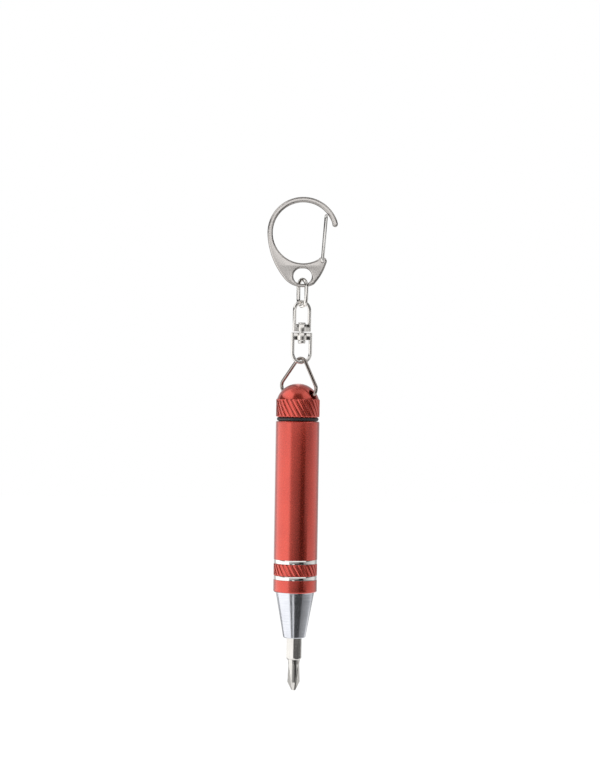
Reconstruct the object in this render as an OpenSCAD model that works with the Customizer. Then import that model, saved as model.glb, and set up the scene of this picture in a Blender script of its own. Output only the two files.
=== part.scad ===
// Pocket screwdriver that hangs on a snap hook, chain link, swivel and wire triangle.
// The origin is the centre of the hook's round opening, +Z is up, the tool hangs down.

/* [Snap hook] */
// Radius of the round opening
loop_r = 8.4; // [7:0.1:12]
// Width of the band around the opening
band_w = 1.45; // [1:0.05:2.5]
// Thickness of the hook, front to back
hook_t = 2; // [1.4:0.1:3]
// Bevel on the rims of the opening and of the eye
hook_bevel = 0.4; // [0.1:0.05:0.6]
// Radius of the long left flank
flank_r = 20.4; // [18:0.1:30]
// Radius of the bowed right edge, from the tip up to the ear
edge_r = 15; // [10:0.5:30]
// Width of the eye
eye_w = 5.1; // [4.8:0.1:7]
// Height of the eye
eye_h = 4.3; // [4:0.1:6]
// Metal between the opening and the eye
eye_rim = 1.4; // [0.8:0.1:3]
// Bar under the eye
eye_bar = 0.85; // [0.6:0.05:2]
// Radius of the rounded nose end
nose_r = 0.76; // [0.74:0.02:1.4]
// How far the nose end sits inside the outer rim
nose_set = 0.03; // [0.02:0.01:0.2]
// Radius of the ear around the gate's feet
ear_r = 1.2; // [0.9:0.05:2]

/* [Gate] */
// Wire diameter of the gate
gate_wire = 0.9; // [0.6:0.05:1.1]
// Bend radius of the gate wire, to its middle
gate_bend = 0.75; // [0.6:0.05:1.2]
// Gap between the gate's bar and the nose
gate_gap = 0.16; // [0.1:0.02:0.4]
// Radial play of a foot in its hole
foot_play = 0.05; // [0.02:0.01:0.1]
// Half the gap between the two feet
foot_gap = 0.15; // [0.1:0.05:0.4]

/* [Chain] */
// Wire diameter of the oval link
link_wire = 1.1; // [0.9:0.05:1.4]
// Outside length of the oval link
link_len = 8.4; // [7.6:0.1:12]
// Wire diameter of the swivel loops
swivel_wire = 1; // [0.8:0.05:1.3]
// Outside width of a swivel loop
swivel_w = 6; // [5.2:0.1:8]
// Height of a swivel loop with its hub
swivel_h = 8.7; // [8:0.1:12]
// Diameter of a swivel hub
hub_d = 2.7; // [2.4:0.1:3.6]
// Height of a swivel hub
hub_h = 2.05; // [1.2:0.05:2.4]
// Thickness of the web beside a hub
web_t = 0.85; // [0.6:0.05:1.2]
// Gap between the two hubs
hub_gap = 0.3; // [0.1:0.05:0.6]
// Diameter of the rivet's shank
rivet_d = 1.3; // [1:0.05:1.6]
// Diameter of a rivet head
rivet_head_d = 2.1; // [1.9:0.05:2.3]
// Height of the rivet's lower head
rivet_head_h = 0.95; // [0.5:0.05:1.2]
// Height of the rivet's upper end, peened low on the upper hub
rivet_peen_h = 0.4; // [0.3:0.05:1.2]
// Wire diameter of the triangle ring
ring_wire = 1; // [0.8:0.05:1.2]
// Height of the triangle, from the middle of its base to the inside of its top
ring_h = 9.45; // [8:0.05:12]
// Bend radius at the top of the triangle, to the wire's middle
ring_top_bend = 1.9; // [1.7:0.1:2.4]
// Bend radius at the lower corners, to the wire's middle
ring_corner_bend = 2; // [0.8:0.05:2.2]
// How far the triangle's base reaches past the dome on each side
ring_reach = 1.45; // [1.4:0.05:3]
// How far the triangle's base rests below the middle of its hole
ring_sink = 0.04; // [0:0.02:0.1]
// Rest gap between pieces that hang on each other
hang_gap = 0.12; // [0.06:0.02:0.2]

/* [Cap] */
// Height of the dome
dome_h = 4.3; // [4:0.1:5.5]
// Diameter of the hole for the triangle ring
hole_d = 2.4; // [2.4:0.05:2.6]
// Middle of that hole below the top of the dome
hole_drop = 2.95; // [2.4:0.05:2.95]
// Length of the cap's knurled band
cap_band = 4.9; // [3:0.1:8]
// Length of the threaded part of the spigot
thread_len = 5.5; // [4:0.5:8]
// Thread pitch
thread_pitch = 1; // [0.75:0.05:1.25]
// Depth of the thread
thread_depth = 0.4; // [0.2:0.05:0.5]
// Radial play in the thread
thread_play = 0.06; // [0.03:0.01:0.1]

/* [O-ring] */
// How far the O-ring sits inside the barrel's outside
seal_inset = 0.25; // [0.05:0.05:0.35]
// Diameter of the O-ring's section
seal_t = 1.1; // [0.8:0.05:1.3]
// Gap above and below the O-ring
seal_gap = 0.05; // [0.02:0.01:0.1]
// Radial play of the O-ring on its neck
seal_play = 0.03; // [0.02:0.01:0.1]

/* [Barrel] */
// Outside diameter of the barrel
barrel_d = 12; // [11.8:0.1:14]
// Wall of the barrel around the bit store
barrel_wall = 1.2; // [1.1:0.05:2]
// Length of the plain upper part
barrel_plain = 38; // [36:0.5:60]
// Length of each bright ring
bright_len = 1.1; // [0.6:0.05:2]
// Depth to which the bright rings are cut
bright_cut = 0.08; // [0.04:0.02:0.2]
// Length of the barrel's knurled band
barrel_band = 3.35; // [2:0.05:6]
// Length of the collar below the lower bright ring
collar_len = 3.4; // [2:0.1:8]
// Chamfer on the barrel's ends
barrel_chamfer = 0.25; // [0.1:0.05:0.4]
// Depth of the knurl grooves
knurl_depth = 0.22; // [0.1:0.02:0.3]
// Number of knurl grooves around
knurl_count = 27; // [20:1:36]

/* [Nose] */
// Step from the barrel's outside in to the nose
nose_step = 0.75; // [0.25:0.05:0.9]
// Diameter at the mouth of the nose
mouth_d = 6.15; // [5.8:0.05:7]
// Length of the tapered nose
nose_len = 12.6; // [10:0.1:20]
// Length of the spigot inside the barrel
nose_spigot = 8; // [6:0.5:10]
// Chamfer around the mouth
mouth_chamfer = 0.2; // [0.1:0.05:0.4]
// Depth of the hex socket
socket_depth = 13.5; // [10:0.5:15]
// Play across the flats of the socket
socket_play = 0.1; // [0.06:0.02:0.2]
// Play around the nose's spigot
spigot_play = 0.02; // [0.01:0.01:0.05]
// How much narrower the magnet is than a bit
magnet_step = 0.1; // [0.05:0.05:0.8]
// Height of the magnet
magnet_h = 3; // [2:0.5:4]
// Play around the magnet
magnet_play = 0.05; // [0.02:0.01:0.1]

/* [Bits] */
// Overall length of a bit
bit_len = 28; // [25:0.5:30]
// Chamfer on the ends of the hex
bit_chamfer = 0.35; // [0.2:0.05:0.5]
// Length of the working end beyond the hex
bit_shank = 8.5; // [7:0.1:11]
// Diameter of the driver bit's working end
cross_d = 3.4; // [2.8:0.1:3.6]
// Diameter of the spare cross bit's working end
small_cross_d = 2.5; // [2.2:0.1:2.8]
// Diameter of a cross point's blunt tip
cross_tip_d = 1.1; // [0.8:0.05:1.4]
// Diameter of the core left between the flutes at the tip
cross_core_d = 0.5; // [0.4:0.05:0.7]
// Width of the slotted blade
blade_w = 3; // [2:0.1:3.3]
// Thickness of the slotted blade at its edge
blade_t = 0.5; // [0.3:0.05:0.8]
// Width across the flats of the hex key end
key_af = 2.5; // [1.5:0.1:3]
// Gap between spare bits lying flat to flat
bit_gap = 0.1; // [0.06:0.02:0.2]
// Play between the spare bits and the bore
store_play = 0.12; // [0.08:0.02:0.3]

/* [Pose] */
// Turn of the oval link from the hook's plane, right strand to the front
link_turn = 58; // [50:1:90]
// Turn of the upper swivel loop, right strand to the back
upper_turn = 35; // [0:1:45]
// Turn of the lower swivel loop, right strand to the back
lower_turn = 15; // [10:1:45]
// Turn of the triangle ring, right corner to the front
ring_turn = 39; // [30:1:60]
// Lean of the triangle in its own plane, right corner lower
ring_lean = 5.5; // [0:0.5:6]
// Turn of the driver bit from a corner facing the front
bit_turn = -4; // [-30:1:30]

/* [Hidden] */
$fn = 64;

// How far a cut runs past the faces that it opens
overrun = 0.5;

// Colours of the finishes
satin_nickel = "#c6c1bc";
spring_steel = "#d9d7d4";
red_anodised = "#b3352f";
rubber_black = "#1c1b1c";
turned_aluminium = "#b9bac0";
bit_steel = "#8d8a85";
magnet_grey = "#6f7073";

// Snap hook
rim_r = loop_r + band_w;
eye_z = -(loop_r + eye_rim + eye_h / 2);
eye_floor_z = eye_z - eye_h / 2;
hook_tip_z = eye_floor_z - eye_bar;
// Angles, in degrees, where the outline's arcs meet
nose_angle = 16;
flank_angle = 183;
tip_end_angle = 298;
ear_end_angle = 330;
// The flank touches the rim at flank_angle, and the tip's arc touches the flank
flank_off = flank_r - rim_r;
flank_c = -flank_off * [cos(flank_angle), sin(flank_angle)];
tip_rise = flank_c[1] - hook_tip_z;
tip_r = (flank_r ^ 2 - flank_c[0] ^ 2 - tip_rise ^ 2) / (2 * (flank_r - tip_rise));
tip_c = [0, hook_tip_z + tip_r];
tip_angle = 360 + atan2(tip_c[1] - flank_c[1], tip_c[0] - flank_c[0]);
nose_c = (rim_r - nose_set - nose_r) * [cos(nose_angle), sin(nose_angle)];

// Gate: its feet lie in the ear, its bar just inside the nose
pivot_angle = -55.5;
ear_share = 0.9;
pivot_r = loop_r + ear_share * ear_r;
pivot = pivot_r * [cos(pivot_angle), sin(pivot_angle)];
bar_angle = 37;
bar_r = loop_r - gate_gap - gate_wire / 2;
bar = bar_r * [cos(bar_angle), sin(bar_angle)];
gate_len = norm(bar - pivot);
gate_lean = atan2(bar[0] - pivot[0], bar[1] - pivot[1]);
gate_y = hook_t / 2 + gate_bend;
foot_d = gate_wire + 2 * foot_play;

// Oval link: its strands pass the hook's faces, and its top arch rests on the eye's bar
link_in_w = (hook_t + link_wire + 2 * hang_gap) / sin(link_turn) - link_wire + hang_gap;
link_in_r = link_in_w / 2;
link_w = link_in_w + 2 * link_wire;
link_seat = link_in_r - sqrt(link_in_r ^ 2 - (hook_t / 2 / sin(link_turn)) ^ 2);
link_top_z = eye_floor_z + link_seat + hang_gap + link_wire;
link_bottom_z = link_top_z - link_len;

// Swivel
rivet_dome_share = 0.33;
upper_top_z = link_bottom_z + link_wire + hang_gap + swivel_wire;
upper_base_z = upper_top_z - swivel_h;
lower_base_z = upper_base_z - hub_gap;
lower_bottom_z = lower_base_z - swivel_h;

// Triangle ring: its base lies in the dome's hole, its top hangs on the lower loop
dome_r = barrel_d / 2;
hole_up = dome_r - hole_drop;
hole_half = sqrt(dome_r ^ 2 - hole_up ^ 2);
ring_half = hole_half + ring_reach;
ring_inside_z = lower_bottom_z + swivel_wire + hang_gap;
ring_base_z = ring_inside_z - ring_h * cos(ring_lean);
ring_corner_x = ring_half - ring_wire / 2 - ring_corner_bend;
ring_top_c = ring_h + ring_wire / 2 - ring_top_bend;
ring_side = [-ring_corner_x, ring_top_c - ring_corner_bend];
ring_side_len = norm(ring_side);
ring_normal = atan2(ring_side[1], ring_side[0])
  - acos((ring_corner_bend - ring_top_bend) / ring_side_len);
// Sides of a bent wire, and the share of the wire's width that is left by bending
wire_sides = 12;
bent_share = 0.97;

// The tool's axis stands where the leaning triangle puts its base
tool_shift = ring_h * sin(ring_lean);
tool_axis = -tool_shift * [cos(ring_turn), -sin(ring_turn)];

// Heights along the tool
hole_z = ring_base_z + ring_sink;
dome_top_z = hole_z + hole_drop;
dome_base_z = dome_top_z - dome_h;
flange_z = dome_base_z - cap_band;
barrel_top_z = flange_z - seal_t - 2 * seal_gap;
bright_1_z = barrel_top_z - barrel_plain;
band_top_z = bright_1_z - bright_len;
band_bottom_z = band_top_z - barrel_band;
collar_z = band_bottom_z - bright_len;
barrel_end_z = collar_z - collar_len;
mouth_z = barrel_end_z - nose_len;
bit_rear_z = mouth_z + socket_depth;

// Slope of a cross point's cone, in degrees from its axis, and the neck's share of its width
cross_angle = 26.5;
neck_share = 0.88;

// Bores: three bits lie flat to flat in the store, and the thread is wider than the store
barrel_r = barrel_d / 2;
store_r = barrel_r - barrel_wall;
thread_r = store_r + thread_depth - thread_play;
seal_d = barrel_d - 2 * seal_inset;
neck_r = seal_d / 2 - seal_t - seal_play;
nose_top_d = barrel_d - 2 * nose_step;

// A bit's width across the flats is what three of them leave each other in the store
bit_af = ((store_r - store_play) * sqrt(3) - bit_gap) / 2;
bit_r = bit_af / sqrt(3);
spare_off = (bit_af + bit_gap) / sqrt(3);
magnet_d = bit_af - magnet_step;
store_floor_z = barrel_end_z + nose_spigot;
spigot_end_z = barrel_top_z - thread_len;

// Knurl: a ridge's crest and groove as shares of its pitch, and the slant of the ridges
crest_share = 0.4;
groove_share = 0.2;
knurl_slant = 30;
knurl_slices = 5;

// A point on a circle in the plane
function on_circle(c, r, a) = c + r * [cos(a), sin(a)];

// Points along an arc from angle a to angle b
function arc(c, r, a, b, steps = 24) =
  [for (i = [0:steps]) on_circle(c, r, a + (b - a) * i / steps)];

// Points along an arc of radius r that bows to the right on its way from p to q
function bowed(p, q, r, steps = 12) =
  let (
    half = norm(q - p) / 2,
    left = [p[1] - q[1], q[0] - p[0]] / (2 * half),
    c = (p + q) / 2 + sqrt(r ^ 2 - half ^ 2) * left
  )
  arc(c, r, atan2(p[1] - c[1], p[0] - c[0]), atan2(q[1] - c[1], q[0] - c[0]), steps);

// Turns a shape drawn in the XY plane up into the XZ plane, facing the front
module upright() {
  rotate([90, 0, 0]) children();
}

// Moves a piece onto the tool's axis at a height
module on_tool(z) {
  translate([tool_axis[0], tool_axis[1], z]) children();
}

// Part of a wire bend in the XY plane, from angle a through sweep
module wire_bend(r, wire, a, sweep) {
  rotate([0, 0, a]) rotate_extrude(angle = sweep) translate([r, 0]) circle(d = wire);
}

// Straight wire in the XY plane from p, along direction a
module wire_run(p, a, len, wire) {
  translate([p[0], p[1], 0]) rotate([0, 0, a]) rotate([0, 90, 0]) cylinder(d = wire, h = len);
}

// A round hole through a plate in the XZ plane, with bevelled rims on both faces
module bevelled_hole(r, t, bevel) {
  cylinder(r = r, h = t + 2 * overrun, center = true);
  for (face = [0, 180])
    rotate([face, 0, 0]) translate([0, 0, t / 2 - bevel])
      cylinder(r1 = r, r2 = r + bevel + overrun, h = bevel + overrun);
}

// The hook's outline: rim, left flank, tip, and a bowed right edge up to the ear
module hook_outline() {
  polygon(concat(
    arc([0, 0], rim_r, nose_angle, flank_angle, 54),
    arc(flank_c, flank_r, flank_angle, tip_angle, 16),
    arc(tip_c, tip_r, tip_angle, tip_end_angle, 20),
    bowed(on_circle(tip_c, tip_r, tip_end_angle), on_circle(pivot, ear_r, ear_end_angle), edge_r),
    [pivot, [0, 0]]
  ));
}

module hook_body() {
  color(satin_nickel) difference() {
    union() {
      upright() difference() {
        linear_extrude(hook_t, center = true) hook_outline();
        bevelled_hole(loop_r, hook_t, hook_bevel);
      }
      translate([nose_c[0], 0, nose_c[1]]) upright() cylinder(r = nose_r, h = hook_t, center = true);
      translate([pivot[0], 0, pivot[1]]) upright() cylinder(r = ear_r, h = hook_t, center = true);
    }
    for (side = [-1, 1])
      translate([side * (eye_w - eye_h) / 2, 0, eye_z]) upright()
        bevelled_hole(eye_h / 2, hook_t, hook_bevel);
    translate([pivot[0], 0, pivot[1]]) upright()
      cylinder(d = foot_d, h = hook_t + 2 * overrun, center = true);
  }
}

// One half of the gate, drawn in the XY plane: x runs front to back, y up the gate
module gate_half() {
  wire_run([foot_gap, 0], 0, gate_y - gate_bend - foot_gap, gate_wire);
  translate([gate_y - gate_bend, gate_bend, 0]) wire_bend(gate_bend, gate_wire, -90, 90);
  wire_run([gate_y, gate_bend], 90, gate_len - 2 * gate_bend, gate_wire);
  translate([gate_y - gate_bend, gate_len - gate_bend, 0]) wire_bend(gate_bend, gate_wire, 0, 90);
  wire_run([0, gate_len], 0, gate_y - gate_bend, gate_wire);
}

module hook_gate() {
  color(spring_steel)
    translate([pivot[0], 0, pivot[1]]) rotate([0, gate_lean, 0])
      for (side = [90, -90]) rotate([0, 0, side]) upright() gate_half();
}

module oval_link() {
  bend = (link_w - link_wire) / 2;
  run = link_len - link_w;
  color(satin_nickel)
    translate([0, 0, link_top_z - link_w / 2]) rotate([0, 0, -link_turn]) upright() {
      wire_bend(bend, link_wire, 0, 180);
      translate([0, -run, 0]) wire_bend(bend, link_wire, 180, 180);
      for (side = [-1, 1]) wire_run([side * bend, 0], -90, run, link_wire);
    }
}

// A swivel loop standing on its hub, with the hub's face at the origin
module swivel_loop() {
  bend = (swivel_w - swivel_wire) / 2;
  run = swivel_h - swivel_w / 2;
  difference() {
    union() {
      translate([0, 0, run]) upright() wire_bend(bend, swivel_wire, 0, 180);
      for (side = [-1, 1]) translate([side * bend, 0, 0]) cylinder(d = swivel_wire, h = run);
      translate([-bend, -web_t / 2, 0]) cube([2 * bend, web_t, hub_h]);
      cylinder(d = hub_d, h = hub_h);
    }
    translate([0, 0, -overrun])
      cylinder(r = rivet_d / 2 + foot_play, h = hub_h + 2 * overrun);
  }
}

module swivel_upper_loop() {
  color(satin_nickel)
    translate([0, 0, upper_base_z]) rotate([0, 0, upper_turn]) swivel_loop();
}

module swivel_lower_loop() {
  color(satin_nickel)
    translate([0, 0, lower_base_z]) rotate([0, 0, lower_turn]) mirror([0, 0, 1]) swivel_loop();
}

// The heads lie on the hubs with the rest gap shared between them
module swivel_rivet() {
  play = foot_play;
  low = lower_base_z - hub_h - play;
  high = upper_base_z + hub_h + play;
  dome = rivet_dome_share * rivet_head_h;
  peen = rivet_dome_share * rivet_peen_h;
  color(spring_steel) rotate_extrude() polygon([
    [0, low - rivet_head_h], [rivet_head_d / 2 - dome, low - rivet_head_h],
    [rivet_head_d / 2, low - rivet_head_h + dome], [rivet_head_d / 2, low],
    [rivet_d / 2, low], [rivet_d / 2, high], [rivet_head_d / 2, high],
    [rivet_head_d / 2, high + rivet_peen_h - peen],
    [rivet_head_d / 2 - peen, high + rivet_peen_h], [0, high + rivet_peen_h]
  ]);
}

// Stations along the triangle's wire, each a place in the XY plane and its outward angle
function bend_stations(c, r, a, b, steps) =
  [for (i = [0:steps]) let (turn = a + (b - a) * i / steps) [on_circle(c, r, turn), turn]];
function ring_stations() = concat(
  [[[ring_corner_x - ring_wire, 0], -90]],
  bend_stations([ring_corner_x, ring_corner_bend], ring_corner_bend, -90, ring_normal, 8),
  bend_stations([0, ring_top_c], ring_top_bend, ring_normal, 180 - ring_normal, 10),
  bend_stations([-ring_corner_x, ring_corner_bend], ring_corner_bend, 180 - ring_normal, 270, 8),
  [[[ring_wire - ring_corner_x, 0], 270]]
);

// A wire bent through stations in the XY plane
module bent_wire(stations, wire) {
  last = len(stations) - 1;
  sides = [0:wire_sides - 1];
  points = [
    for (s = stations) for (j = sides) let (a = 360 * (j + 0.5) / wire_sides, r = wire / 2)
      [s[0][0] + r * cos(a) * cos(s[1]), s[0][1] + r * cos(a) * sin(s[1]), r * sin(a)]
  ];
  walls = [
    for (i = [0:last - 1]) for (j = sides) let (k = (j + 1) % wire_sides)
      [j, k, k + wire_sides, j + wire_sides] + i * wire_sides * [1, 1, 1, 1]
  ];
  ends = [[for (j = sides) wire_sides - 1 - j], [for (j = sides) last * wire_sides + j]];
  polyhedron(points, concat(walls, ends));
}

// The straight base is the pin that the cap swings on
module triangle_ring() {
  color(spring_steel) on_tool(ring_base_z)
    rotate([0, 0, -ring_turn]) rotate([0, ring_lean, 0]) upright() {
      wire_run([-ring_corner_x, 0], 0, 2 * ring_corner_x, ring_wire);
      bent_wire(ring_stations(), bent_share * ring_wire);
    }
}

// A band of slanted ridges around the tool, with its lower face at the origin
module knurl_band(len) {
  pitch_angle = 360 / knurl_count;
  root_r = barrel_r - knurl_depth;
  turn = len * tan(knurl_slant) / barrel_r * 180 / PI;
  linear_extrude(len, twist = turn, slices = knurl_slices) polygon([
    for (i = [0:knurl_count - 1])
      for (step = [[0, barrel_r], [crest_share, barrel_r],
                   [(1 + crest_share - groove_share) / 2, root_r],
                   [(1 + crest_share + groove_share) / 2, root_r]])
        on_circle([0, 0], step[1], (i + step[0]) * pitch_angle)
  ]);
}

// The thread's crests, as rings a pitch apart, below z = 0
module thread_rings(len) {
  root_r = thread_r - thread_depth;
  turns = floor(len / thread_pitch);
  half = thread_pitch / 2;
  rotate_extrude() polygon(concat(
    [[0, 0], [root_r, 0]],
    [for (i = [0:turns - 1]) each [
      [root_r, -i * thread_pitch], [thread_r, -i * thread_pitch - half / 2],
      [thread_r, -i * thread_pitch - half], [root_r, -i * thread_pitch - half * 3 / 2]
    ]],
    [[root_r, -len], [0, -len]]
  ));
}

module end_cap() {
  core_r = barrel_r - 2 * knurl_depth;
  color(red_anodised) difference() {
    union() {
      intersection() {
        on_tool(dome_top_z - dome_r) sphere(r = dome_r);
        on_tool(dome_base_z) cylinder(r = dome_r + overrun, h = dome_h + overrun);
      }
      on_tool(flange_z) knurl_band(cap_band);
      on_tool(flange_z) cylinder(r = core_r, h = cap_band + knurl_depth);
      on_tool(barrel_top_z) cylinder(r = neck_r, h = flange_z - barrel_top_z + cap_band / 2);
      on_tool(barrel_top_z) thread_rings(thread_len);
    }
    on_tool(hole_z) rotate([0, 0, -ring_turn]) rotate([0, 90, 0])
      cylinder(d = hole_d, h = barrel_d + 2 * overrun, center = true);
  }
}

module cap_o_ring() {
  color(rubber_black) on_tool(flange_z - seal_gap - seal_t / 2)
    rotate_extrude() translate([(seal_d - seal_t) / 2, 0]) circle(d = seal_t);
}

module barrel() {
  edge_r = barrel_r - barrel_chamfer;
  cut_r = barrel_r - bright_cut;
  core_r = barrel_r - 2 * knurl_depth;
  length = barrel_top_z - barrel_end_z;
  color(red_anodised) difference() {
    union() {
      on_tool(0) rotate_extrude() polygon([
        [0, barrel_end_z], [edge_r, barrel_end_z], [barrel_r, barrel_end_z + barrel_chamfer],
        [barrel_r, collar_z], [cut_r, collar_z], [cut_r, band_bottom_z], [core_r, band_bottom_z],
        [core_r, band_top_z], [cut_r, band_top_z], [cut_r, bright_1_z], [barrel_r, bright_1_z],
        [barrel_r, barrel_top_z - barrel_chamfer], [edge_r, barrel_top_z], [0, barrel_top_z]
      ]);
      on_tool(band_bottom_z) knurl_band(barrel_band);
    }
    on_tool(barrel_end_z - overrun) cylinder(r = store_r, h = length + 2 * overrun);
    on_tool(spigot_end_z - thread_pitch / 2)
      cylinder(r = thread_r + thread_play, h = thread_len + thread_pitch / 2 + overrun);
  }
}

module nose_cone() {
  spigot_r = store_r - spigot_play;
  socket_d = (bit_af + socket_play) / cos(30);
  pocket_h = magnet_h + magnet_play;
  color(turned_aluminium) difference() {
    on_tool(0) rotate_extrude() polygon([
      [0, mouth_z], [mouth_d / 2 - mouth_chamfer, mouth_z], [mouth_d / 2, mouth_z + mouth_chamfer],
      [nose_top_d / 2, barrel_end_z], [spigot_r, barrel_end_z], [spigot_r, store_floor_z],
      [0, store_floor_z]
    ]);
    on_tool(mouth_z - overrun) rotate([0, 0, 30 + bit_turn])
      cylinder(d = socket_d, h = socket_depth + overrun, $fn = 6);
    on_tool(mouth_z) cylinder(d = magnet_d + 2 * magnet_play, h = socket_depth + pocket_h);
  }
}

module bit_magnet() {
  color(magnet_grey) on_tool(bit_rear_z + magnet_play / 2) cylinder(d = magnet_d, h = magnet_h);
}

// The hex of a bit: its rear face at the origin, its working end towards -Z
module bit_hex() {
  len = bit_len - bit_shank;
  corner = bit_r + bit_chamfer;
  slope = corner - bit_af / 2 + bit_chamfer / 2;
  intersection() {
    translate([0, 0, -len]) rotate([0, 0, 30]) cylinder(r = bit_r, h = len, $fn = 6);
    rotate_extrude() polygon([
      [0, -len], [bit_af / 2 - bit_chamfer / 2, -len], [corner, -len + slope],
      [corner, -slope], [bit_af / 2 - bit_chamfer / 2, 0], [0, 0]
    ]);
  }
}

// A round working end with four flutes that run out to a blunt cross point
module cross_end(d) {
  top = bit_shank - bit_len;
  taper = (d - cross_tip_d) / 2 / tan(cross_angle);
  flute = bit_shank - bit_chamfer - d / 4;
  neck_d = neck_share * d;
  tilt = atan((neck_d - cross_core_d) / 2 / flute);
  difference() {
    rotate_extrude() polygon([
      [0, -bit_len], [cross_tip_d / 2, -bit_len], [d / 2, taper - bit_len],
      [neck_d / 2, top + bit_chamfer], [0, top + bit_chamfer]
    ]);
    for (side = [0:3])
      rotate([0, 0, side * 90 + 45]) translate([cross_core_d / 2, 0, -bit_len]) rotate([0, tilt, 0])
        rotate([0, 0, -45]) translate([0, 0, -overrun]) cube([d, d, flute + 2 * overrun]);
  }
}

// A round working end flattened to a blade
module slotted_end(d) {
  top = bit_shank - bit_len;
  blade = bit_shank - bit_chamfer - d / 2;
  intersection() {
    translate([0, 0, -bit_len]) cylinder(d = d, h = bit_shank + bit_chamfer);
    translate([-blade_w / 2, 0, 0]) rotate([90, 0, 90]) linear_extrude(blade_w) polygon([
      [-blade_t / 2, -bit_len], [blade_t / 2, -bit_len], [d / 2, blade - bit_len],
      [d / 2, top + bit_chamfer], [-d / 2, top + bit_chamfer], [-d / 2, blade - bit_len]
    ]);
  }
}

// A hexagonal key end
module key_end(af) {
  translate([0, 0, -bit_len]) rotate([0, 0, 30])
    cylinder(d = af / cos(30), h = bit_shank + bit_chamfer, $fn = 6);
}

module driver_bit() {
  color(bit_steel) on_tool(bit_rear_z) rotate([0, 0, bit_turn]) {
    bit_hex();
    cross_end(cross_d);
  }
}

// Puts a spare bit in the store, point up, in one of three places around the axis
module stored(place) {
  on_tool(store_floor_z) rotate([0, 0, place * 120]) translate([0, spare_off, 0])
    mirror([0, 0, 1]) children();
}

module slotted_bit() {
  color(bit_steel) stored(0) {
    bit_hex();
    slotted_end(cross_d);
  }
}

module small_cross_bit() {
  color(bit_steel) stored(1) {
    bit_hex();
    cross_end(small_cross_d);
  }
}

module hex_key_bit() {
  color(bit_steel) stored(2) {
    bit_hex();
    key_end(key_af);
  }
}

hook_body();
hook_gate();
oval_link();
swivel_upper_loop();
swivel_lower_loop();
swivel_rivet();
triangle_ring();
end_cap();
cap_o_ring();
barrel();
nose_cone();
bit_magnet();
driver_bit();
slotted_bit();
small_cross_bit();
hex_key_bit();
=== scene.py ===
"""Looks of a pocket screwdriver that hangs from a snap hook by a short swivel chain.

Sizes are in millimetres and are scaled to metres when a mesh is made. Every piece goes where
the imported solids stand, in their frame: Z up, the photograph taken along +Y.
"""

import logging
import math
from collections.abc import Sequence
from dataclasses import dataclass, field
from enum import Enum
from functools import reduce
from operator import matmul

import bmesh
import bpy
from bpy.types import ID, Material, Mesh, Node, NodeSocket, NodeTree, Object
from mathutils import Matrix, Vector
from mathutils.geometry import tessellate_polygon


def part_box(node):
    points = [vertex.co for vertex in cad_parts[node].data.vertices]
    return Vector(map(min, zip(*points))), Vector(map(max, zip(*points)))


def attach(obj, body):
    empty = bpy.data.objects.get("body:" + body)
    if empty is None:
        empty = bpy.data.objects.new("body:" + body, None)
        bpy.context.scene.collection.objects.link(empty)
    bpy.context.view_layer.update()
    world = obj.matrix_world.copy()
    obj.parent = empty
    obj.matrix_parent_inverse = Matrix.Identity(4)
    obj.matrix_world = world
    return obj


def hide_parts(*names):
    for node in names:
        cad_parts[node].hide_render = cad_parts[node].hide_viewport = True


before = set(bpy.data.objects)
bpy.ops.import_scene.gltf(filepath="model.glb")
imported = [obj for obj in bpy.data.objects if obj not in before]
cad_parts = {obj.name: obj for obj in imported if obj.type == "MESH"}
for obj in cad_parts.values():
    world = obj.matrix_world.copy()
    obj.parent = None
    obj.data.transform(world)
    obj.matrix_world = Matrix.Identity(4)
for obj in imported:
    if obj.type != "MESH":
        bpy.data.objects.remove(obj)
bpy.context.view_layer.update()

LOG = logging.getLogger("pocket_screwdriver")
MM = 0.001
# Sizes that two assemblies share, in millimetres and degrees
TOOL_R, HOLE_DROP, THREAD_LEN, HOOK_T = 6.0, 2.95, 5.5, 2.0
RING_TURN, BIT_TURN = 39.0, -4.0
# Faces around turned pieces, from the large ones to those that hardly show
FINE_ROUND, MID_ROUND, SMALL_ROUND = 128, 64, 48
# A map range's inputs, in the order in which its values are written below
RANGE = ("From Min", "From Max", "To Min", "To Max")
# Stretches of a pattern's range that are spread over the whole of a finish
MARK_RANGE, TONE_RANGE, FACING_RANGE = (0.3, 0.7), (0.1, 0.4), (0.55, 0.97)

Point = tuple[float, float]
Spot = tuple[float, float, float]
Settings = dict[str | int, object]
Links = dict[str | int, NodeSocket]


def linear(colour: str) -> tuple[float, float, float, float]:
    """Turns an sRGB hex colour into linear RGBA.

    Args:
        colour: six hex digits after a hash.

    Returns:
        The linear channels, with alpha 1.
    """
    channels = [int(colour[i:i + 2], 16) / 255 for i in (1, 3, 5)]
    red, green, blue = (
        c / 12.92 if c <= 0.04045 else ((c + 0.055) / 1.055) ** 2.4 for c in channels
    )
    return red, green, blue, 1.0


def add_node(tree: NodeTree, kind: str, settings: Settings | None = None, links: Links | None = None) -> Node:
    """Adds a node with its settings and links.

    Args:
        tree: the tree that gets the node.
        kind: the node's type.
        settings: attributes by name, and values of inputs by name or number.
        links: output sockets that feed inputs, by the input's name or number.

    Returns:
        The new node.
    """
    node = tree.nodes.new(kind)
    for key, value in (settings or {}).items():
        if isinstance(key, str) and hasattr(node, key):
            setattr(node, key, value)
        else:
            node.inputs[key].default_value = value
    for key, source in (links or {}).items():
        tree.links.new(source, node.inputs[key])
    return node


def blank_material(name: str) -> Material:
    """Makes a material.

    Args:
        name: the material's name.

    Returns:
        The material, with nothing in its tree.
    """
    made = bpy.data.materials.new(name)
    made.use_nodes = True
    made.node_tree.nodes.clear()
    return made


def placed(name: str, data: ID) -> Object:
    """Puts an object into the scene.

    Args:
        name: the object's name.
        data: its mesh, camera or lamp.

    Returns:
        The object, at the origin.
    """
    made = bpy.data.objects.new(name, data)
    bpy.context.scene.collection.objects.link(made)
    return made


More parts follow.
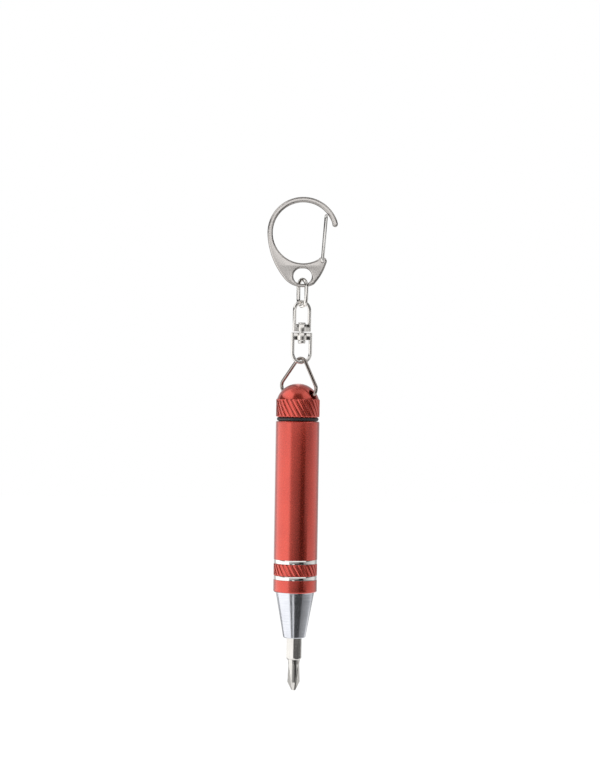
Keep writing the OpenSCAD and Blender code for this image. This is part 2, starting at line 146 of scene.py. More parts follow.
class Lay(Enum):
    """Which way the fine marks of a finish run, as the pattern's stretch along X, Y and Z."""

    AROUND = (0.03, 0.03, 1.0)
    ALONG = (1.0, 1.0, 0.03)
    ALL = (1.0, 1.0, 1.0)


@dataclass(frozen=True)
class Finish:
    """What a piece is made of: two colours that mix, and a range of roughness."""

    name: str
    colour: str
    shade: str
    roughness: Point

    def material(self) -> Material:
        """Gives the finish as a material.

        Returns:
            The material, which is made when it is first asked for.
        """
        known = bpy.data.materials.get(self.name)
        if not known:
            known = blank_material(self.name)
            self.paint(known.node_tree)
        return known

    def paint(self, tree: NodeTree) -> None:
        """Fills the material's tree, as each kind of finish does in its own way."""
        raise NotImplementedError

    def surface(
        self, tree: NodeTree, height: NodeSocket, bump_mm: float, settings: Settings, links: Links
    ) -> None:
        """Ends a tree in a shader with a fine bump.

        Args:
            tree: the material's tree.
            height: the pattern of the bump.
            bump_mm: its depth.
            settings: values of the shader's inputs.
            links: sockets that feed its other inputs.
        """
        bump = add_node(tree, "ShaderNodeBump", {"Distance": bump_mm * MM}, {"Height": height})
        links = links | {"Normal": bump.outputs["Normal"]}
        shader = add_node(tree, "ShaderNodeBsdfPrincipled", settings, links).outputs["BSDF"]
        add_node(tree, "ShaderNodeOutputMaterial", None, {"Surface": shader})


@dataclass(frozen=True)
class MetalFinish(Finish):
    """A bare, plated or anodised metal with fine marks from how it was made."""

    mark_mm: float
    lay: Lay
    bump_mm: float
    cloud_mm: float = 6.0
    # Colour of painted shade on the edges that turn away from Y, empty for none
    edge_shade: str = ""
    metallic: float = 1.0
    coat: float = 0.0
    coat_roughness: float = 0.1
    coat_ior: float = 1.5

    def paint(self, tree: NodeTree) -> None:
        """Fills the tree: marks that run with the lay, in clouds, on a metal.

        Args:
            tree: the material's tree.
        """
        place = add_node(tree, "ShaderNodeTexCoord").outputs["Object"]
        stretch = add_node(tree, "ShaderNodeMapping", {"Scale": self.lay.value}, {"Vector": place})
        marks = add_node(
            tree, "ShaderNodeTexNoise",
            {"Scale": 1 / (self.mark_mm * MM), "Detail": 3.0, "Roughness": 0.6},
            {"Vector": stretch.outputs["Vector"]}).outputs["Fac"]
        clouds = add_node(
            tree, "ShaderNodeTexNoise", {"Scale": 1 / (self.cloud_mm * MM), "Detail": 2.0},
            {"Vector": place}).outputs["Fac"]
        both = add_node(tree, "ShaderNodeMath", {"operation": "MULTIPLY"}, {0: marks, 1: clouds})
        tone = add_node(
            tree, "ShaderNodeMapRange", dict(zip(RANGE, (*TONE_RANGE, 1.0, 0.0))),
            {"Value": both.outputs[0]})
        tint = add_node(
            tree, "ShaderNodeMix", {"data_type": "RGBA", 6: linear(self.colour), 7: linear(self.shade)},
            {0: tone.outputs["Result"]}).outputs[2]
        # Painted shade: edges that turn away from Y get a dark grey in place of their dark reflections
        if self.edge_shade:
            tint = self.paint_edge_shade(tree, tint)
        rough = add_node(
            tree, "ShaderNodeMapRange", dict(zip(RANGE, MARK_RANGE + self.roughness)), {"Value": marks})
        settings = {
            "Metallic": self.metallic, "Coat Weight": self.coat,
            "Coat Roughness": self.coat_roughness, "Coat IOR": self.coat_ior,
        }
        links = {"Base Color": tint, "Roughness": rough.outputs["Result"]}
        self.surface(tree, marks, self.bump_mm, settings, links)

    def paint_edge_shade(self, tree: NodeTree, tint: NodeSocket) -> NodeSocket:
        """Paints shade on the rounded edges of a flat piece that faces along Y.

        Args:
            tree: the material's tree.
            tint: the colour of the flat faces.

        Returns:
            The colour with painted shade on the edges.
        """
        normal = add_node(tree, "ShaderNodeTexCoord").outputs["Normal"]
        across = add_node(tree, "ShaderNodeSeparateXYZ", None, {"Vector": normal}).outputs["Y"]
        facing = add_node(tree, "ShaderNodeMath", {"operation": "ABSOLUTE"}, {0: across}).outputs[0]
        flat = add_node(
            tree, "ShaderNodeMapRange", dict(zip(RANGE, FACING_RANGE)), {"Value": facing})
        return add_node(
            tree, "ShaderNodeMix", {"data_type": "RGBA", 6: linear(self.edge_shade)},
            {0: flat.outputs["Result"], 7: tint}).outputs[2]


@dataclass(frozen=True)
class RubberFinish(Finish):
    """A moulded rubber with a dull skin and a fine grain."""

    grain_mm: float
    bump_mm: float
    ior: float = 1.52

    def paint(self, tree: NodeTree) -> None:
        """Fills the tree: one grain for colour, dullness and bump.

        Args:
            tree: the material's tree.
        """
        place = add_node(tree, "ShaderNodeTexCoord").outputs["Object"]
        grain = add_node(
            tree, "ShaderNodeTexNoise", {"Scale": 1 / (self.grain_mm * MM), "Detail": 4.0},
            {"Vector": place}).outputs["Fac"]
        tint = add_node(
            tree, "ShaderNodeMix", {"data_type": "RGBA", 6: linear(self.colour), 7: linear(self.shade)},
            {0: grain}).outputs[2]
        rough = add_node(
            tree, "ShaderNodeMapRange", dict(zip(RANGE[2:], self.roughness)), {"Value": grain})
        links = {"Base Color": tint, "Roughness": rough.outputs["Result"]}
        self.surface(tree, grain, self.bump_mm, {"IOR": self.ior}, links)


# Tumbled nickel plate on the zinc casting: a soft warm grey sheen, with painted shade along the edges
SATIN_NICKEL = MetalFinish(
    "satin_nickel_plate", "#e9e4e0", "#dfdad6", (0.22, 0.3), 0.3, Lay.ALL, 0.0008, edge_shade="#7a756f")
# Barrel-polished nickel plate on the chain: almost a mirror, slightly warm
BRIGHT_NICKEL = MetalFinish(
    "bright_nickel_plate", "#f4f1ed", "#e6e2dd", (0.09, 0.14), 0.3, Lay.ALL, 0.0015)
# Plated spring wire, drawn smooth: nearly mirror bright, with faint streaks along it
BRIGHT_WIRE = MetalFinish(
    "bright_plated_wire", "#f2f0ed", "#e0ddd9", (0.09, 0.15), 0.25, Lay.ALONG, 0.0015)
# The triangle's plated spring wire, its colours darkened as painted shade so that it stays darker than the
# chain
SHADED_SPRING_WIRE = MetalFinish(
    "spring_wire_painted_shade", "#aca29b", "#9e958f", (0.12, 0.18), 0.25, Lay.ALONG, 0.0015)
# Red dyed anodised aluminium: a clear oxide skin over a satin metallic red, which scatters a little
RED_ANODISED = MetalFinish(
    "red_anodised_aluminium", "#d84c3a", "#cc4536", (0.23, 0.29), 0.16, Lay.ALL, 0.0005,
    metallic=0.95, coat=1.0, coat_roughness=0.14, coat_ior=1.55)
# Aluminium cut bright by a diamond tool after dyeing: sharp, silvery rings
BRIGHT_CUT = MetalFinish(
    "bright_cut_aluminium", "#f6f6f3", "#e8e8e4", (0.07, 0.12), 0.12, Lay.AROUND, 0.0006)
# Aluminium as turned: cool grey with fine feed lines around it, drawn coarser than real to show
TURNED_ALUMINIUM = MetalFinish(
    "lathe_turned_aluminium", "#e2e4ea", "#cfd1d8", (0.14, 0.24), 0.24, Lay.AROUND, 0.004)
# Hardened tool steel, ground along its length: a light, slightly warm grey
TOOL_STEEL = MetalFinish(
    "ground_tool_steel", "#e6e3de", "#d3d0cb", (0.13, 0.2), 0.22, Lay.ALONG, 0.0025)
# Nickel-plated magnet: smooth and a little yellow
PLATED_MAGNET = MetalFinish(
    "nickel_plated_magnet", "#d8d3c8", "#c9c3b7", (0.16, 0.24), 0.4, Lay.ALL, 0.002)
# Moulded nitrile rubber: near black, dull, a soft highlight
BLACK_RUBBER = RubberFinish(
    "moulded_black_rubber", "#1f1e1f", "#141314", (0.3, 0.42), 0.15, 0.004)


def on_circle(centre: Point, radius: float, degrees: float) -> Point:
    """Returns a point on a circle in the plane."""
    a = math.radians(degrees)
    return centre[0] + radius * math.cos(a), centre[1] + radius * math.sin(a)


def arc(centre: Point, radius: float, start: float, end: float, steps: int = 24) -> list[Point]:
    """Returns the points of an arc in the plane, from one angle to another in degrees."""
    return [on_circle(centre, radius, start + (end - start) * i / steps) for i in range(steps + 1)]


def bowed(start: Point, end: Point, radius: float, steps: int = 16) -> list[Point]:
    """Draws an arc between two points that bows to the right of the way.

    Args:
        start: its first point.
        end: its last point.
        radius: its radius.
        steps: how many straight steps it has.

    Returns:
        The points along it.
    """
    first, last = Vector(start), Vector(end)
    half = (last - first).length / 2
    left = Vector((first.y - last.y, last.x - first.x)) / (2 * half)
    centre = tuple((first + last) / 2 + left * math.sqrt(radius ** 2 - half ** 2))
    return arc(centre, radius, angle_from(centre, start), angle_from(centre, end), steps)


def angle_from(centre: Point, point: Point) -> float:
    """Returns the angle, in degrees, at which a point is seen from a centre."""
    return math.degrees(math.atan2(point[1] - centre[1], point[0] - centre[0]))


# Half of a corner's angle from which a line counts as straight
STRAIGHT = math.radians(89)


def rounded(corners: Sequence[Spot], steps: int = 4) -> list[Point]:
    """Rounds the corners of an open line.

    Args:
        corners: points of the line, each with the radius of its corner.
        steps: straight steps in each round.

    Returns:
        The points of the rounded line.
    """
    line: list[Point] = [corners[0][:2]]
    for before, corner, after in zip(corners, corners[1:], corners[2:]):
        here, radius = Vector(corner[:2]), corner[2]
        back, ahead = Vector(before[:2]) - here, Vector(after[:2]) - here
        half = back.angle(ahead) / 2
        if radius <= 0 or half > STRAIGHT:
            line.append(tuple(here))
            continue
        reach = min(radius / math.tan(half), back.length / 2, ahead.length / 2)
        first, last = here + back.normalized() * reach, here + ahead.normalized() * reach
        for i in range(steps + 1):
            t = i / steps
            line.append(tuple(first * (1 - t) ** 2 + here * 2 * t * (1 - t) + last * t ** 2))
    line.append(corners[-1][:2])
    return line


class Shell:
    """A mesh in the making, in millimetres, that ends as one object."""

    END_SHARE = 0.1
    LEAN_LIMIT = 0.5
    MERGE_M = 1e-7

    def __init__(self) -> None:
        """Starts with nothing."""
        self.points: list[Vector] = []
        self.faces: list[list[int]] = []

    def _bridge(self, low: Sequence[int], high: Sequence[int], loop: bool = True) -> None:
        """Joins two rows of points with quads, or a row and a pole with triangles.

        Args:
            low: numbers of the points in one row.
            high: numbers of the points in the other.
            loop: True where the last points join the first.
        """
        count = max(len(low), len(high))
        for i in range(count if loop else count - 1):
            j = (i + 1) % count
            quad = [low[i % len(low)], low[j % len(low)], high[j % len(high)], high[i % len(high)]]
            self.faces.append(list(dict.fromkeys(quad)))

    def _row(self, points: Sequence[Vector]) -> list[int]:
        """Adds a row of points.

        Args:
            points: the points.

        Returns:
            Their numbers.
        """
        start = len(self.points)
        self.points.extend(points)
        return list(range(start, len(self.points)))

    def lathe(self, profile: Sequence[Point], closed: bool = False, segments: int = 96) -> "Shell":
        """Turns a profile around the Z axis.

        Args:
            profile: radius and height of each point.
            closed: True where the profile is a loop, as in a tube's wall.
            segments: faces around the axis.

        Returns:
            The shell itself.
        """
        rows = []
        for radius, height in profile:
            count = segments if radius > 1e-6 else 1
            turn = [math.radians(360 * i / segments) for i in range(count)]
            rows.append(self._row([
                Vector((radius * math.cos(a), radius * math.sin(a), height)) for a in turn]))
        for low, high in zip(rows, rows[1:] + rows[:1] if closed else rows[1:]):
            self._bridge(low, high)
        return self

    def wire(self, path: Sequence[Point], width: float, closed: bool, sides: int = 20) -> "Shell":
        """Sweeps a round wire along a path in the XY plane.

        Args:
            path: points of the wire's middle.
            width: the wire's diameter.
            closed: True where the path is a loop.
            sides: faces around the wire.

        Returns:
            The shell itself.
        """
        spots = [Vector((*p, 0.0)) for p in path]
        rows, last = [], len(spots) - 1
        for i, spot in enumerate(spots):
            ahead = spots[(i + 1) % len(spots)] if closed or i < last else spot
            behind = spots[i - 1] if closed or i > 0 else spot
            along = (ahead - behind).normalized()
            side, up = Vector((along.y, -along.x, 0.0)), Vector((0.0, 0.0, 1.0))
            turns = [2 * math.pi * j / sides for j in range(sides)]
            ring = [spot + (side * math.cos(a) + up * math.sin(a)) * width / 2 for a in turns]
            if not closed and i in (0, last):
                inward = along if i == 0 else -along
                edge = [p + inward * width * self.END_SHARE for p in ring]
                face = [spot + (p - spot) * (1 - 2 * self.END_SHARE) for p in ring]
                pair = [self._row(face), self._row(edge)]
                self.faces.append(pair[0])
                rows.extend(pair if i == 0 else pair[::-1])
            else:
                rows.append(self._row(ring))
        for low, high in zip(rows, rows[1:] + rows[:1] if closed else rows[1:]):
            self._bridge(low, high)
        return self

    def plate(
        self, loops: Sequence[Sequence[Point]], thickness: float, bevel: float, steps: int = 6
    ) -> "Shell":
        """Makes a flat plate in the XY plane with rounded edges.

        Args:
            loops: the outline counterclockwise, then each hole clockwise.
            thickness: the plate's thickness.
            bevel: radius of its rounded edges.
            steps: straight steps in each round.

        Returns:
            The shell itself.
        """
        levels = [
            (bevel * (1 - math.cos(t)), thickness / 2 - bevel + bevel * math.sin(t))
            for t in (math.pi / 2 * i / steps for i in range(steps + 1))
        ]
        levels = [(inset, -height) for inset, height in reversed(levels)] + levels
        caps: tuple[list[int], list[int]] = ([], [])
        for loop in loops:
            spots = [Vector(p) for p in loop]
            inward = []
            for i, spot in enumerate(spots):
                before = (spot - spots[i - 1]).normalized()
                after = (spots[(i + 1) % len(spots)] - spot).normalized()
                normal = Vector((-before.y - after.y, before.x + after.x)).normalized()
                lean = max(self.LEAN_LIMIT, normal.dot(Vector((-after.y, after.x))))
                inward.append(normal / lean)
            rows = [
                self._row([Vector((*(p + n * inset), height)) for p, n in zip(spots, inward)])
                for inset, height in levels
            ]
            for low, high in zip(rows, rows[1:]):
                self._bridge(low, high)
            caps[0].extend(rows[0])
            caps[1].extend(rows[-1])
        sizes = [len(loop) for loop in loops]
        for cap in caps:
            starts = [sum(sizes[:i]) for i in range(len(sizes))]
            flat = [[self.points[k] for k in cap[s:s + n]] for s, n in zip(starts, sizes)]
            self.faces.extend([cap[k] for k in tri] for tri in tessellate_polygon(flat))
        return self

    def prism(self, outline: Sequence[Point], low: float, high: float) -> "Shell":
        """Makes an upright prism.

        Args:
            outline: its outline in the XY plane.
            low: height of its foot.
            high: height of its top.

        Returns:
            The shell itself.
        """
        rows = [self._row([Vector((*p, z)) for p in outline]) for z in (low, high)]
        self._bridge(*rows)
        self.faces.extend(rows)
        return self

    def moved(self, *steps: Matrix) -> "Shell":
        """Moves all points so far.

        Args:
            steps: the moves, of which the last is done first.

        Returns:
            The shell itself.
        """
        whole = reduce(matmul, steps)
        self.points = [whole @ p for p in self.points]
        return self

    def take(self, other: "Shell") -> "Shell":
        """Adds another shell's points and faces.

        Args:
            other: the shell that is added.

        Returns:
            The shell itself.
        """
        start = len(self.points)
        self.points.extend(other.points)
        self.faces.extend([k + start for k in face] for face in other.faces)
        return self

    def object(self, name: str, finish: Finish, crease: float = 32.0, soften: float = 0.0) -> Object:
        """Ends the shell as an object at the origin, in metres.

        Args:
            name: the object's name.
            finish: what it is made of.
            crease: angle, in degrees, above which an edge stays sharp.
            soften: width of a bevel on those edges, in millimetres.

        Returns:
            The object.
        """
        mesh = bpy.data.meshes.new(name)
        mesh.from_pydata([p * MM for p in self.points], [], self.faces)
        made = placed(name, mesh)
        mesh.materials.append(finish.material())
        shape = bmesh.new()
        shape.from_mesh(mesh)
        bmesh.ops.remove_doubles(shape, verts=shape.verts, dist=self.MERGE_M)
        bmesh.ops.recalc_face_normals(shape, faces=shape.faces)
        if soften:
            sharp = [
                e for e in shape.edges
                if e.is_manifold and e.calc_face_angle() > math.radians(crease)
            ]
            bmesh.ops.bevel(
                shape, geom=sharp, offset=soften * MM, offset_type="OFFSET", segments=2,
                profile=0.5, affect="EDGES", clamp_overlap=True)
        shape.to_mesh(mesh)
        shape.free()
        smooth(mesh, crease)
        return made

    def stood(self, name: str, finish: Finish, soften: float = 0.0) -> Object:
        """Ends the shell as an object on the screwdriver's axis."""
        return self.moved(on_tool(0)).object(name, finish, soften=soften)


def smooth(mesh: Mesh, crease: float = 32.0) -> None:
    """Shades a mesh smooth, with edges sharper than the crease angle kept."""
    mesh.shade_smooth()
    mesh.set_sharp_from_angle(angle=math.radians(crease))


def settle(made: Object) -> None:
    """Turns an object with its modifiers into a plain mesh.

    Args:
        made: the object, whose modifiers go.
    """
    bpy.context.view_layer.update()
    graph = bpy.context.evaluated_depsgraph_get()
    mesh = bpy.data.meshes.new_from_object(made.evaluated_get(graph))
    made.modifiers.clear()
    old, made.data = made.data, mesh
    bpy.data.meshes.remove(old)
    mesh.name = made.name


def cut(made: Object, *cutters: Object) -> None:
    """Cuts shapes out of an object.

    Args:
        made: the object that is cut.
        cutters: the shapes, which are removed afterwards.
    """
    for cutter in cutters:
        step = made.modifiers.new("cut", "BOOLEAN")
        step.object, step.solver, step.operation = cutter, "EXACT", "DIFFERENCE"
    settle(made)
    for cutter in cutters:
        bpy.data.objects.remove(cutter)
    smooth(made.data)


def dress(node: str, finish: Finish) -> None:
    """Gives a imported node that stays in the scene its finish.

    Args:
        node: the node's name.
        finish: what it is made of.
    """
    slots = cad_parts[node].data.materials
    slots.clear()
    slots.append(finish.material())


def turn(degrees: float, axis: str) -> Matrix:
    """Returns a turn about one of the axes."""
    return Matrix.Rotation(math.radians(degrees), 4, axis)


def shift(x: float, y: float, z: float) -> Matrix:
    """Returns a move."""
    return Matrix.Translation((x, y, z))


# Stands a shape drawn in the XY plane up in the XZ plane, facing the camera
UPRIGHT = turn(90, "X")


def span(node: str) -> Point:
    """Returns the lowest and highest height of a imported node, in millimetres."""
    low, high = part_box(node)
    return low.z / MM, high.z / MM


def tool_axis() -> Point:
    """Returns where the screwdriver's axis stands, in millimetres."""
    low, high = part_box("barrel")
    return (low.x + high.x) / 2 / MM, (low.y + high.y) / 2 / MM


def on_tool(z: float) -> Matrix:
    """Returns the move onto the screwdriver's axis at a height."""
    return shift(*tool_axis(), z)


def hexagon(across_flats: float, turned: float) -> list[Point]:
    """Returns the corners of a hexagon in the plane, turned by an angle in degrees."""
    return arc((0, 0), across_flats / math.sqrt(3), 30 + turned, 330 + turned, 5)


def seat(made: Object, body: str, slot: str, *nodes: str) -> None:
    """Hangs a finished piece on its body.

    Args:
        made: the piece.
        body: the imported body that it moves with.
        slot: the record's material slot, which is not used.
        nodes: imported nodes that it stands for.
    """
    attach(made, body)
    if nodes:
        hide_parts(*nodes)
    LOG.info("%s: %d faces on %s", made.name, len(made.data.polygons), body)


@dataclass
class RidgedSleeve:
    """A ring whose outside has ridges that climb around it: a knurl, or a thread with one start."""

    name: str
    ridges: int
    segments: int
    rows: int
    outer: float
    root: float
    core: float
    length: float
    turn: float
    crest: float
    groove: float
    chamfer: float
    MERGE_M = 1e-6

    def tree(self, finish: Finish) -> NodeTree:
        """Builds the Geometry Nodes tree.

        Args:
            finish: the sleeve's material.

        Returns:
            The tree, whose inputs are named for the sizes.
        """
        tree = bpy.data.node_groups.new(self.name, "GeometryNodeTree")
        tree.interface.new_socket("Geometry", in_out="INPUT", socket_type="NodeSocketGeometry")
        for label in ("Ridges", "Segments", "Rows"):
            tree.interface.new_socket(label, in_out="INPUT", socket_type="NodeSocketInt")
        for label in ("Outer", "Root", "Core", "Length", "Turn", "Crest", "Groove", "Chamfer"):
            tree.interface.new_socket(label, in_out="INPUT", socket_type="NodeSocketFloat")
        tree.interface.new_socket("Geometry", in_out="OUTPUT", socket_type="NodeSocketGeometry")
        given = add_node(tree, "NodeGroupInput").outputs
        position = add_node(tree, "GeometryNodeInputPosition").outputs["Position"]
        flat = add_node(tree, "ShaderNodeSeparateXYZ", None, {"Vector": position}).outputs
        values: dict[str, NodeSocket] = {s.name: s for s in given if s.name}
        values.update(x=flat["X"], y=flat["Y"])

        def work(*steps: tuple[str | float, ...]) -> None:
            """Adds sums to the values.

            Args:
                steps: each a name, an operation and its terms, which are numbers or names.
            """
            for name, operation, *terms in steps:
                fixed = {i: t for i, t in enumerate(terms) if not isinstance(t, str)}
                fed = {i: values[t] for i, t in enumerate(terms) if isinstance(t, str)}
                node = add_node(tree, "ShaderNodeMath", {"operation": operation, **fixed}, fed)
                values[name] = node.outputs[0]

        # A grid is rolled up: its first and last rows lie inside, so that the ring is closed
        work(
            ("columns", "ADD", "Segments", 1.0), ("lines", "ADD", "Rows", 4.0),
            ("u", "ADD", "x", 0.5), ("v", "ADD", "y", 0.5),
            ("last", "ADD", "Rows", 3.0), ("row", "MULTIPLY", "v", "last"),
            ("from_base", "SUBTRACT", "row", 1.0), ("share", "DIVIDE", "from_base", "Rows"),
            ("not_below", "MAXIMUM", "share", 0.0), ("not_above", "MINIMUM", "not_below", 1.0),
            ("top_row", "ADD", "Rows", 2.5), ("open", "LESS_THAN", "row", "top_row"),
            ("arch", "MULTIPLY", "not_above", math.pi), ("arch_cos", "COSINE", "arch"),
            ("arch_fall", "MULTIPLY", "arch_cos", -0.5), ("eased", "ADD", "arch_fall", 0.5),
            ("rise", "MULTIPLY", "eased", "open"),
            ("over", "GREATER_THAN", "row", 0.5), ("edge_row", "ADD", "Rows", 1.5),
            ("under", "LESS_THAN", "row", "edge_row"), ("outside", "MULTIPLY", "over", "under"),
            ("place", "MULTIPLY", "u", "Ridges"), ("cell", "FRACT", "place"),
            ("off", "SUBTRACT", "cell", 0.5), ("away", "ABSOLUTE", "off"),
            ("from_crest", "MULTIPLY", "away", 2.0), ("floor", "SUBTRACT", 1.0, "Groove"),
        )
        values["height"] = add_node(
            tree, "ShaderNodeMapRange", {"interpolation_type": "SMOOTHSTEP", "To Min": 1.0, "To Max": 0.0},
            {"Value": values["from_crest"], "From Min": values["Crest"], "From Max": values["floor"]},
        ).outputs["Result"]
        work(
            ("depth", "SUBTRACT", "Outer", "Root"), ("proud", "MULTIPLY", "height", "depth"),
            ("to_top", "SUBTRACT", 1.0, "rise"), ("nearer", "MINIMUM", "rise", "to_top"),
            ("from_end", "MULTIPLY", "nearer", "Length"),
            ("short", "SUBTRACT", "Chamfer", "from_end"), ("drop", "MAXIMUM", "short", 0.0),
            ("full", "ADD", "Root", "proud"), ("skin", "SUBTRACT", "full", "drop"),
            ("wall", "SUBTRACT", "skin", "Core"),
            ("kept", "MULTIPLY", "wall", "outside"), ("radius", "ADD", "kept", "Core"),
            ("round", "MULTIPLY", "u", 2 * math.pi), ("climb", "MULTIPLY", "rise", "Turn"),
            ("angle", "ADD", "round", "climb"), ("cos", "COSINE", "angle"), ("sin", "SINE", "angle"),
            ("px", "MULTIPLY", "radius", "cos"), ("py", "MULTIPLY", "radius", "sin"),
            ("pz", "MULTIPLY", "rise", "Length"),
        )
        shape = add_node(
            tree, "GeometryNodeMeshGrid", {"Size X": 1.0, "Size Y": 1.0},
            {"Vertices X": values["columns"], "Vertices Y": values["lines"]},
        ).outputs["Mesh"]
        rolled = add_node(
            tree, "ShaderNodeCombineXYZ", None, {"X": values["px"], "Y": values["py"], "Z": values["pz"]})
        for kind, settings, links in (
            ("GeometryNodeSetPosition", {}, {"Position": rolled.outputs["Vector"]}),
            ("GeometryNodeMergeByDistance", {"Distance": self.MERGE_M}, {}),
            ("GeometryNodeRealizeInstances", {}, {}),
            ("GeometryNodeSetMaterial", {"Material": finish.material()}, {}),
        ):
            shape = add_node(tree, kind, settings, {"Geometry": shape, **links}).outputs["Geometry"]
        add_node(tree, "NodeGroupOutput", None, {"Geometry": shape})
        return tree

    def object(self, finish: Finish, low: float) -> Object:
        """Makes the sleeve as a plain mesh on the screwdriver's axis.

        Args:
            finish: what it is made of.
            low: height of its lower edge, in millimetres.

        Returns:
            The object, at the origin.
        """
        made = placed(self.name, bpy.data.meshes.new(self.name))
        tree = self.tree(finish)
        step = made.modifiers.new("ridges", "NODES")
        step.node_group = tree
        lengths = ("outer", "root", "core", "length", "chamfer")
        for item in tree.interface.items_tree:
            size = getattr(self, item.name.lower(), None)
            if size is not None:
                step[item.identifier] = size * MM if item.name.lower() in lengths else size
        settle(made)
        place = on_tool(low)
        place.translation *= MM
        made.data.transform(place)
        shape = bmesh.new()
        shape.from_mesh(made.data)
        bmesh.ops.recalc_face_normals(shape, faces=shape.faces)
        shape.to_mesh(made.data)
        shape.free()
        smooth(made.data)
        return made


@dataclass
class SnapHook:
    """The flat cast hook with its wire gate."""

    loop_r: float = 8.4
    band_w: float = 1.45
    thickness: float = HOOK_T
    bevel: float = 0.5
    crease: float = 40.0
    flank_r: float = 20.4
    edge_r: float = 15.0
    eye_w: float = 5.1
    eye_h: float = 4.3
    eye_rim: float = 1.4
    eye_bar: float = 0.85
    nose_r: float = 0.76
    nose_set: float = 0.03
    ear_r: float = 1.2
    ear_share: float = 0.9
    nose_angle: float = 16.0
    nose_lap: float = 10.0
    rim_lap: float = 1.0
    flank_angle: float = 183.0
    tip_end_angle: float = 298.0
    ear_end_angle: float = 330.0
    pivot_angle: float = -55.5
    bar_angle: float = 37.0
    gate_wire: float = 0.9
    gate_bend: float = 0.75
    gate_gap: float = 0.16
    foot_play: float = 0.05
    foot_gap: float = 0.15

    def pivot(self) -> Point:
        """Returns the gate's pivot in the hook's plane."""
        return on_circle((0, 0), self.loop_r + self.ear_share * self.ear_r, self.pivot_angle)

    def meeting(self, centre: Point, radius: float, side: int) -> Point:
        """Finds where a round end meets the loop's inside.

        Args:
            centre: the round end's centre.
            radius: its radius.
            side: 1 for the meeting point counterclockwise of the centre, -1 for the other.

        Returns:
            The meeting point.
        """
        far = math.hypot(*centre)
        reach = (self.loop_r ** 2 + far ** 2 - radius ** 2) / (2 * self.loop_r * far)
        angle = angle_from((0, 0), centre) + side * math.degrees(math.acos(reach))
        return on_circle((0, 0), self.loop_r, angle)

    def outline(self) -> list[Point]:
        """Draws the hook's outline.

        Returns:
            Its points, counterclockwise, with the open loop in it.
        """
        rim_r = self.loop_r + self.band_w
        tip_z = -(self.loop_r + self.eye_rim + self.eye_h + self.eye_bar)
        flank_c = on_circle((0, 0), rim_r - self.flank_r, self.flank_angle)
        rise = flank_c[1] - tip_z
        tip_r = (self.flank_r ** 2 - flank_c[0] ** 2 - rise ** 2) / (2 * (self.flank_r - rise))
        tip_c = (0.0, tip_z + tip_r)
        tip_angle = 360 + angle_from(flank_c, tip_c)
        tip_end = on_circle(tip_c, tip_r, self.tip_end_angle)
        pivot = self.pivot()
        nose_c = on_circle((0, 0), rim_r - self.nose_set - self.nose_r, self.nose_angle)
        ear_in = self.meeting(pivot, self.ear_r, -1)
        nose_in = self.meeting(nose_c, self.nose_r, 1)
        ear_stop = angle_from(pivot, ear_in)
        nose_stop = angle_from(nose_c, nose_in)
        nose_end = self.nose_angle - self.nose_lap + (0 if nose_stop < self.nose_angle else 360)
        loop_ends = angle_from((0, 0), ear_in), angle_from((0, 0), nose_in) - 360
        return (
            arc((0, 0), rim_r, self.nose_angle + self.rim_lap, self.flank_angle, 110)
            + arc(flank_c, self.flank_r, self.flank_angle, tip_angle, 30)[1:]
            + arc(tip_c, tip_r, tip_angle, self.tip_end_angle, 40)[1:]
            + bowed(tip_end, on_circle(pivot, self.ear_r, self.ear_end_angle), self.edge_r)[1:]
            + arc(pivot, self.ear_r, self.ear_end_angle, ear_stop + 360, 30)[1:]
            + arc((0, 0), self.loop_r, *loop_ends, 180)[1:]
            + arc(nose_c, self.nose_r, nose_stop, nose_end, 22)[1:-1]
        )

    def build(self) -> None:
        """Makes the hook and its gate."""
        eye_z = -(self.loop_r + self.eye_rim + self.eye_h / 2)
        half, side = self.eye_h / 2, (self.eye_w - self.eye_h) / 2
        eye = arc((side, eye_z), half, 90, -90, 32) + arc((-side, eye_z), half, -90, -270, 32)
        pivot = self.pivot()
        foot_hole = arc(pivot, self.gate_wire / 2 + self.foot_play, 360, 15, 23)
        plate = Shell().plate([self.outline(), eye], self.thickness, self.bevel).moved(UPRIGHT)
        hook = plate.object("hook_body_cast", SATIN_NICKEL, self.crease)
        drill = Shell().prism(foot_hole, -self.thickness, self.thickness).moved(UPRIGHT)
        cut(hook, drill.object("foot_drill", SATIN_NICKEL))
        seat(hook, "hook", "satin_nickel", "hook_body")
        self.build_gate(pivot)

    def build_gate(self, pivot: Point) -> None:
        """Bends the gate's wire: two feet in the ear, two strands and a bar under the nose.

        Args:
            pivot: where the feet sit, in the hook's plane.
        """
        bar = on_circle((0, 0), self.loop_r - self.gate_gap - self.gate_wire / 2, self.bar_angle)
        length = math.dist(bar, pivot)
        lean = math.degrees(math.atan2(bar[0] - pivot[0], bar[1] - pivot[1]))
        wide, bend = self.thickness / 2 + self.gate_bend, self.gate_bend
        half = (
            [(self.foot_gap, 0.0)]
            + arc((wide - bend, bend), bend, -90, 0, 10)
            + arc((wide - bend, length - bend), bend, 0, 90, 10)
        )
        path = half + [(-x, y) for x, y in reversed(half)]
        gate = Shell().wire(path, self.gate_wire, False)
        gate.moved(shift(pivot[0], 0, pivot[1]), turn(lean, "Y"), turn(90, "Z"), UPRIGHT)
        seat(gate.object("gate_wire", BRIGHT_WIRE), "gate", "bright_wire", "hook_gate")


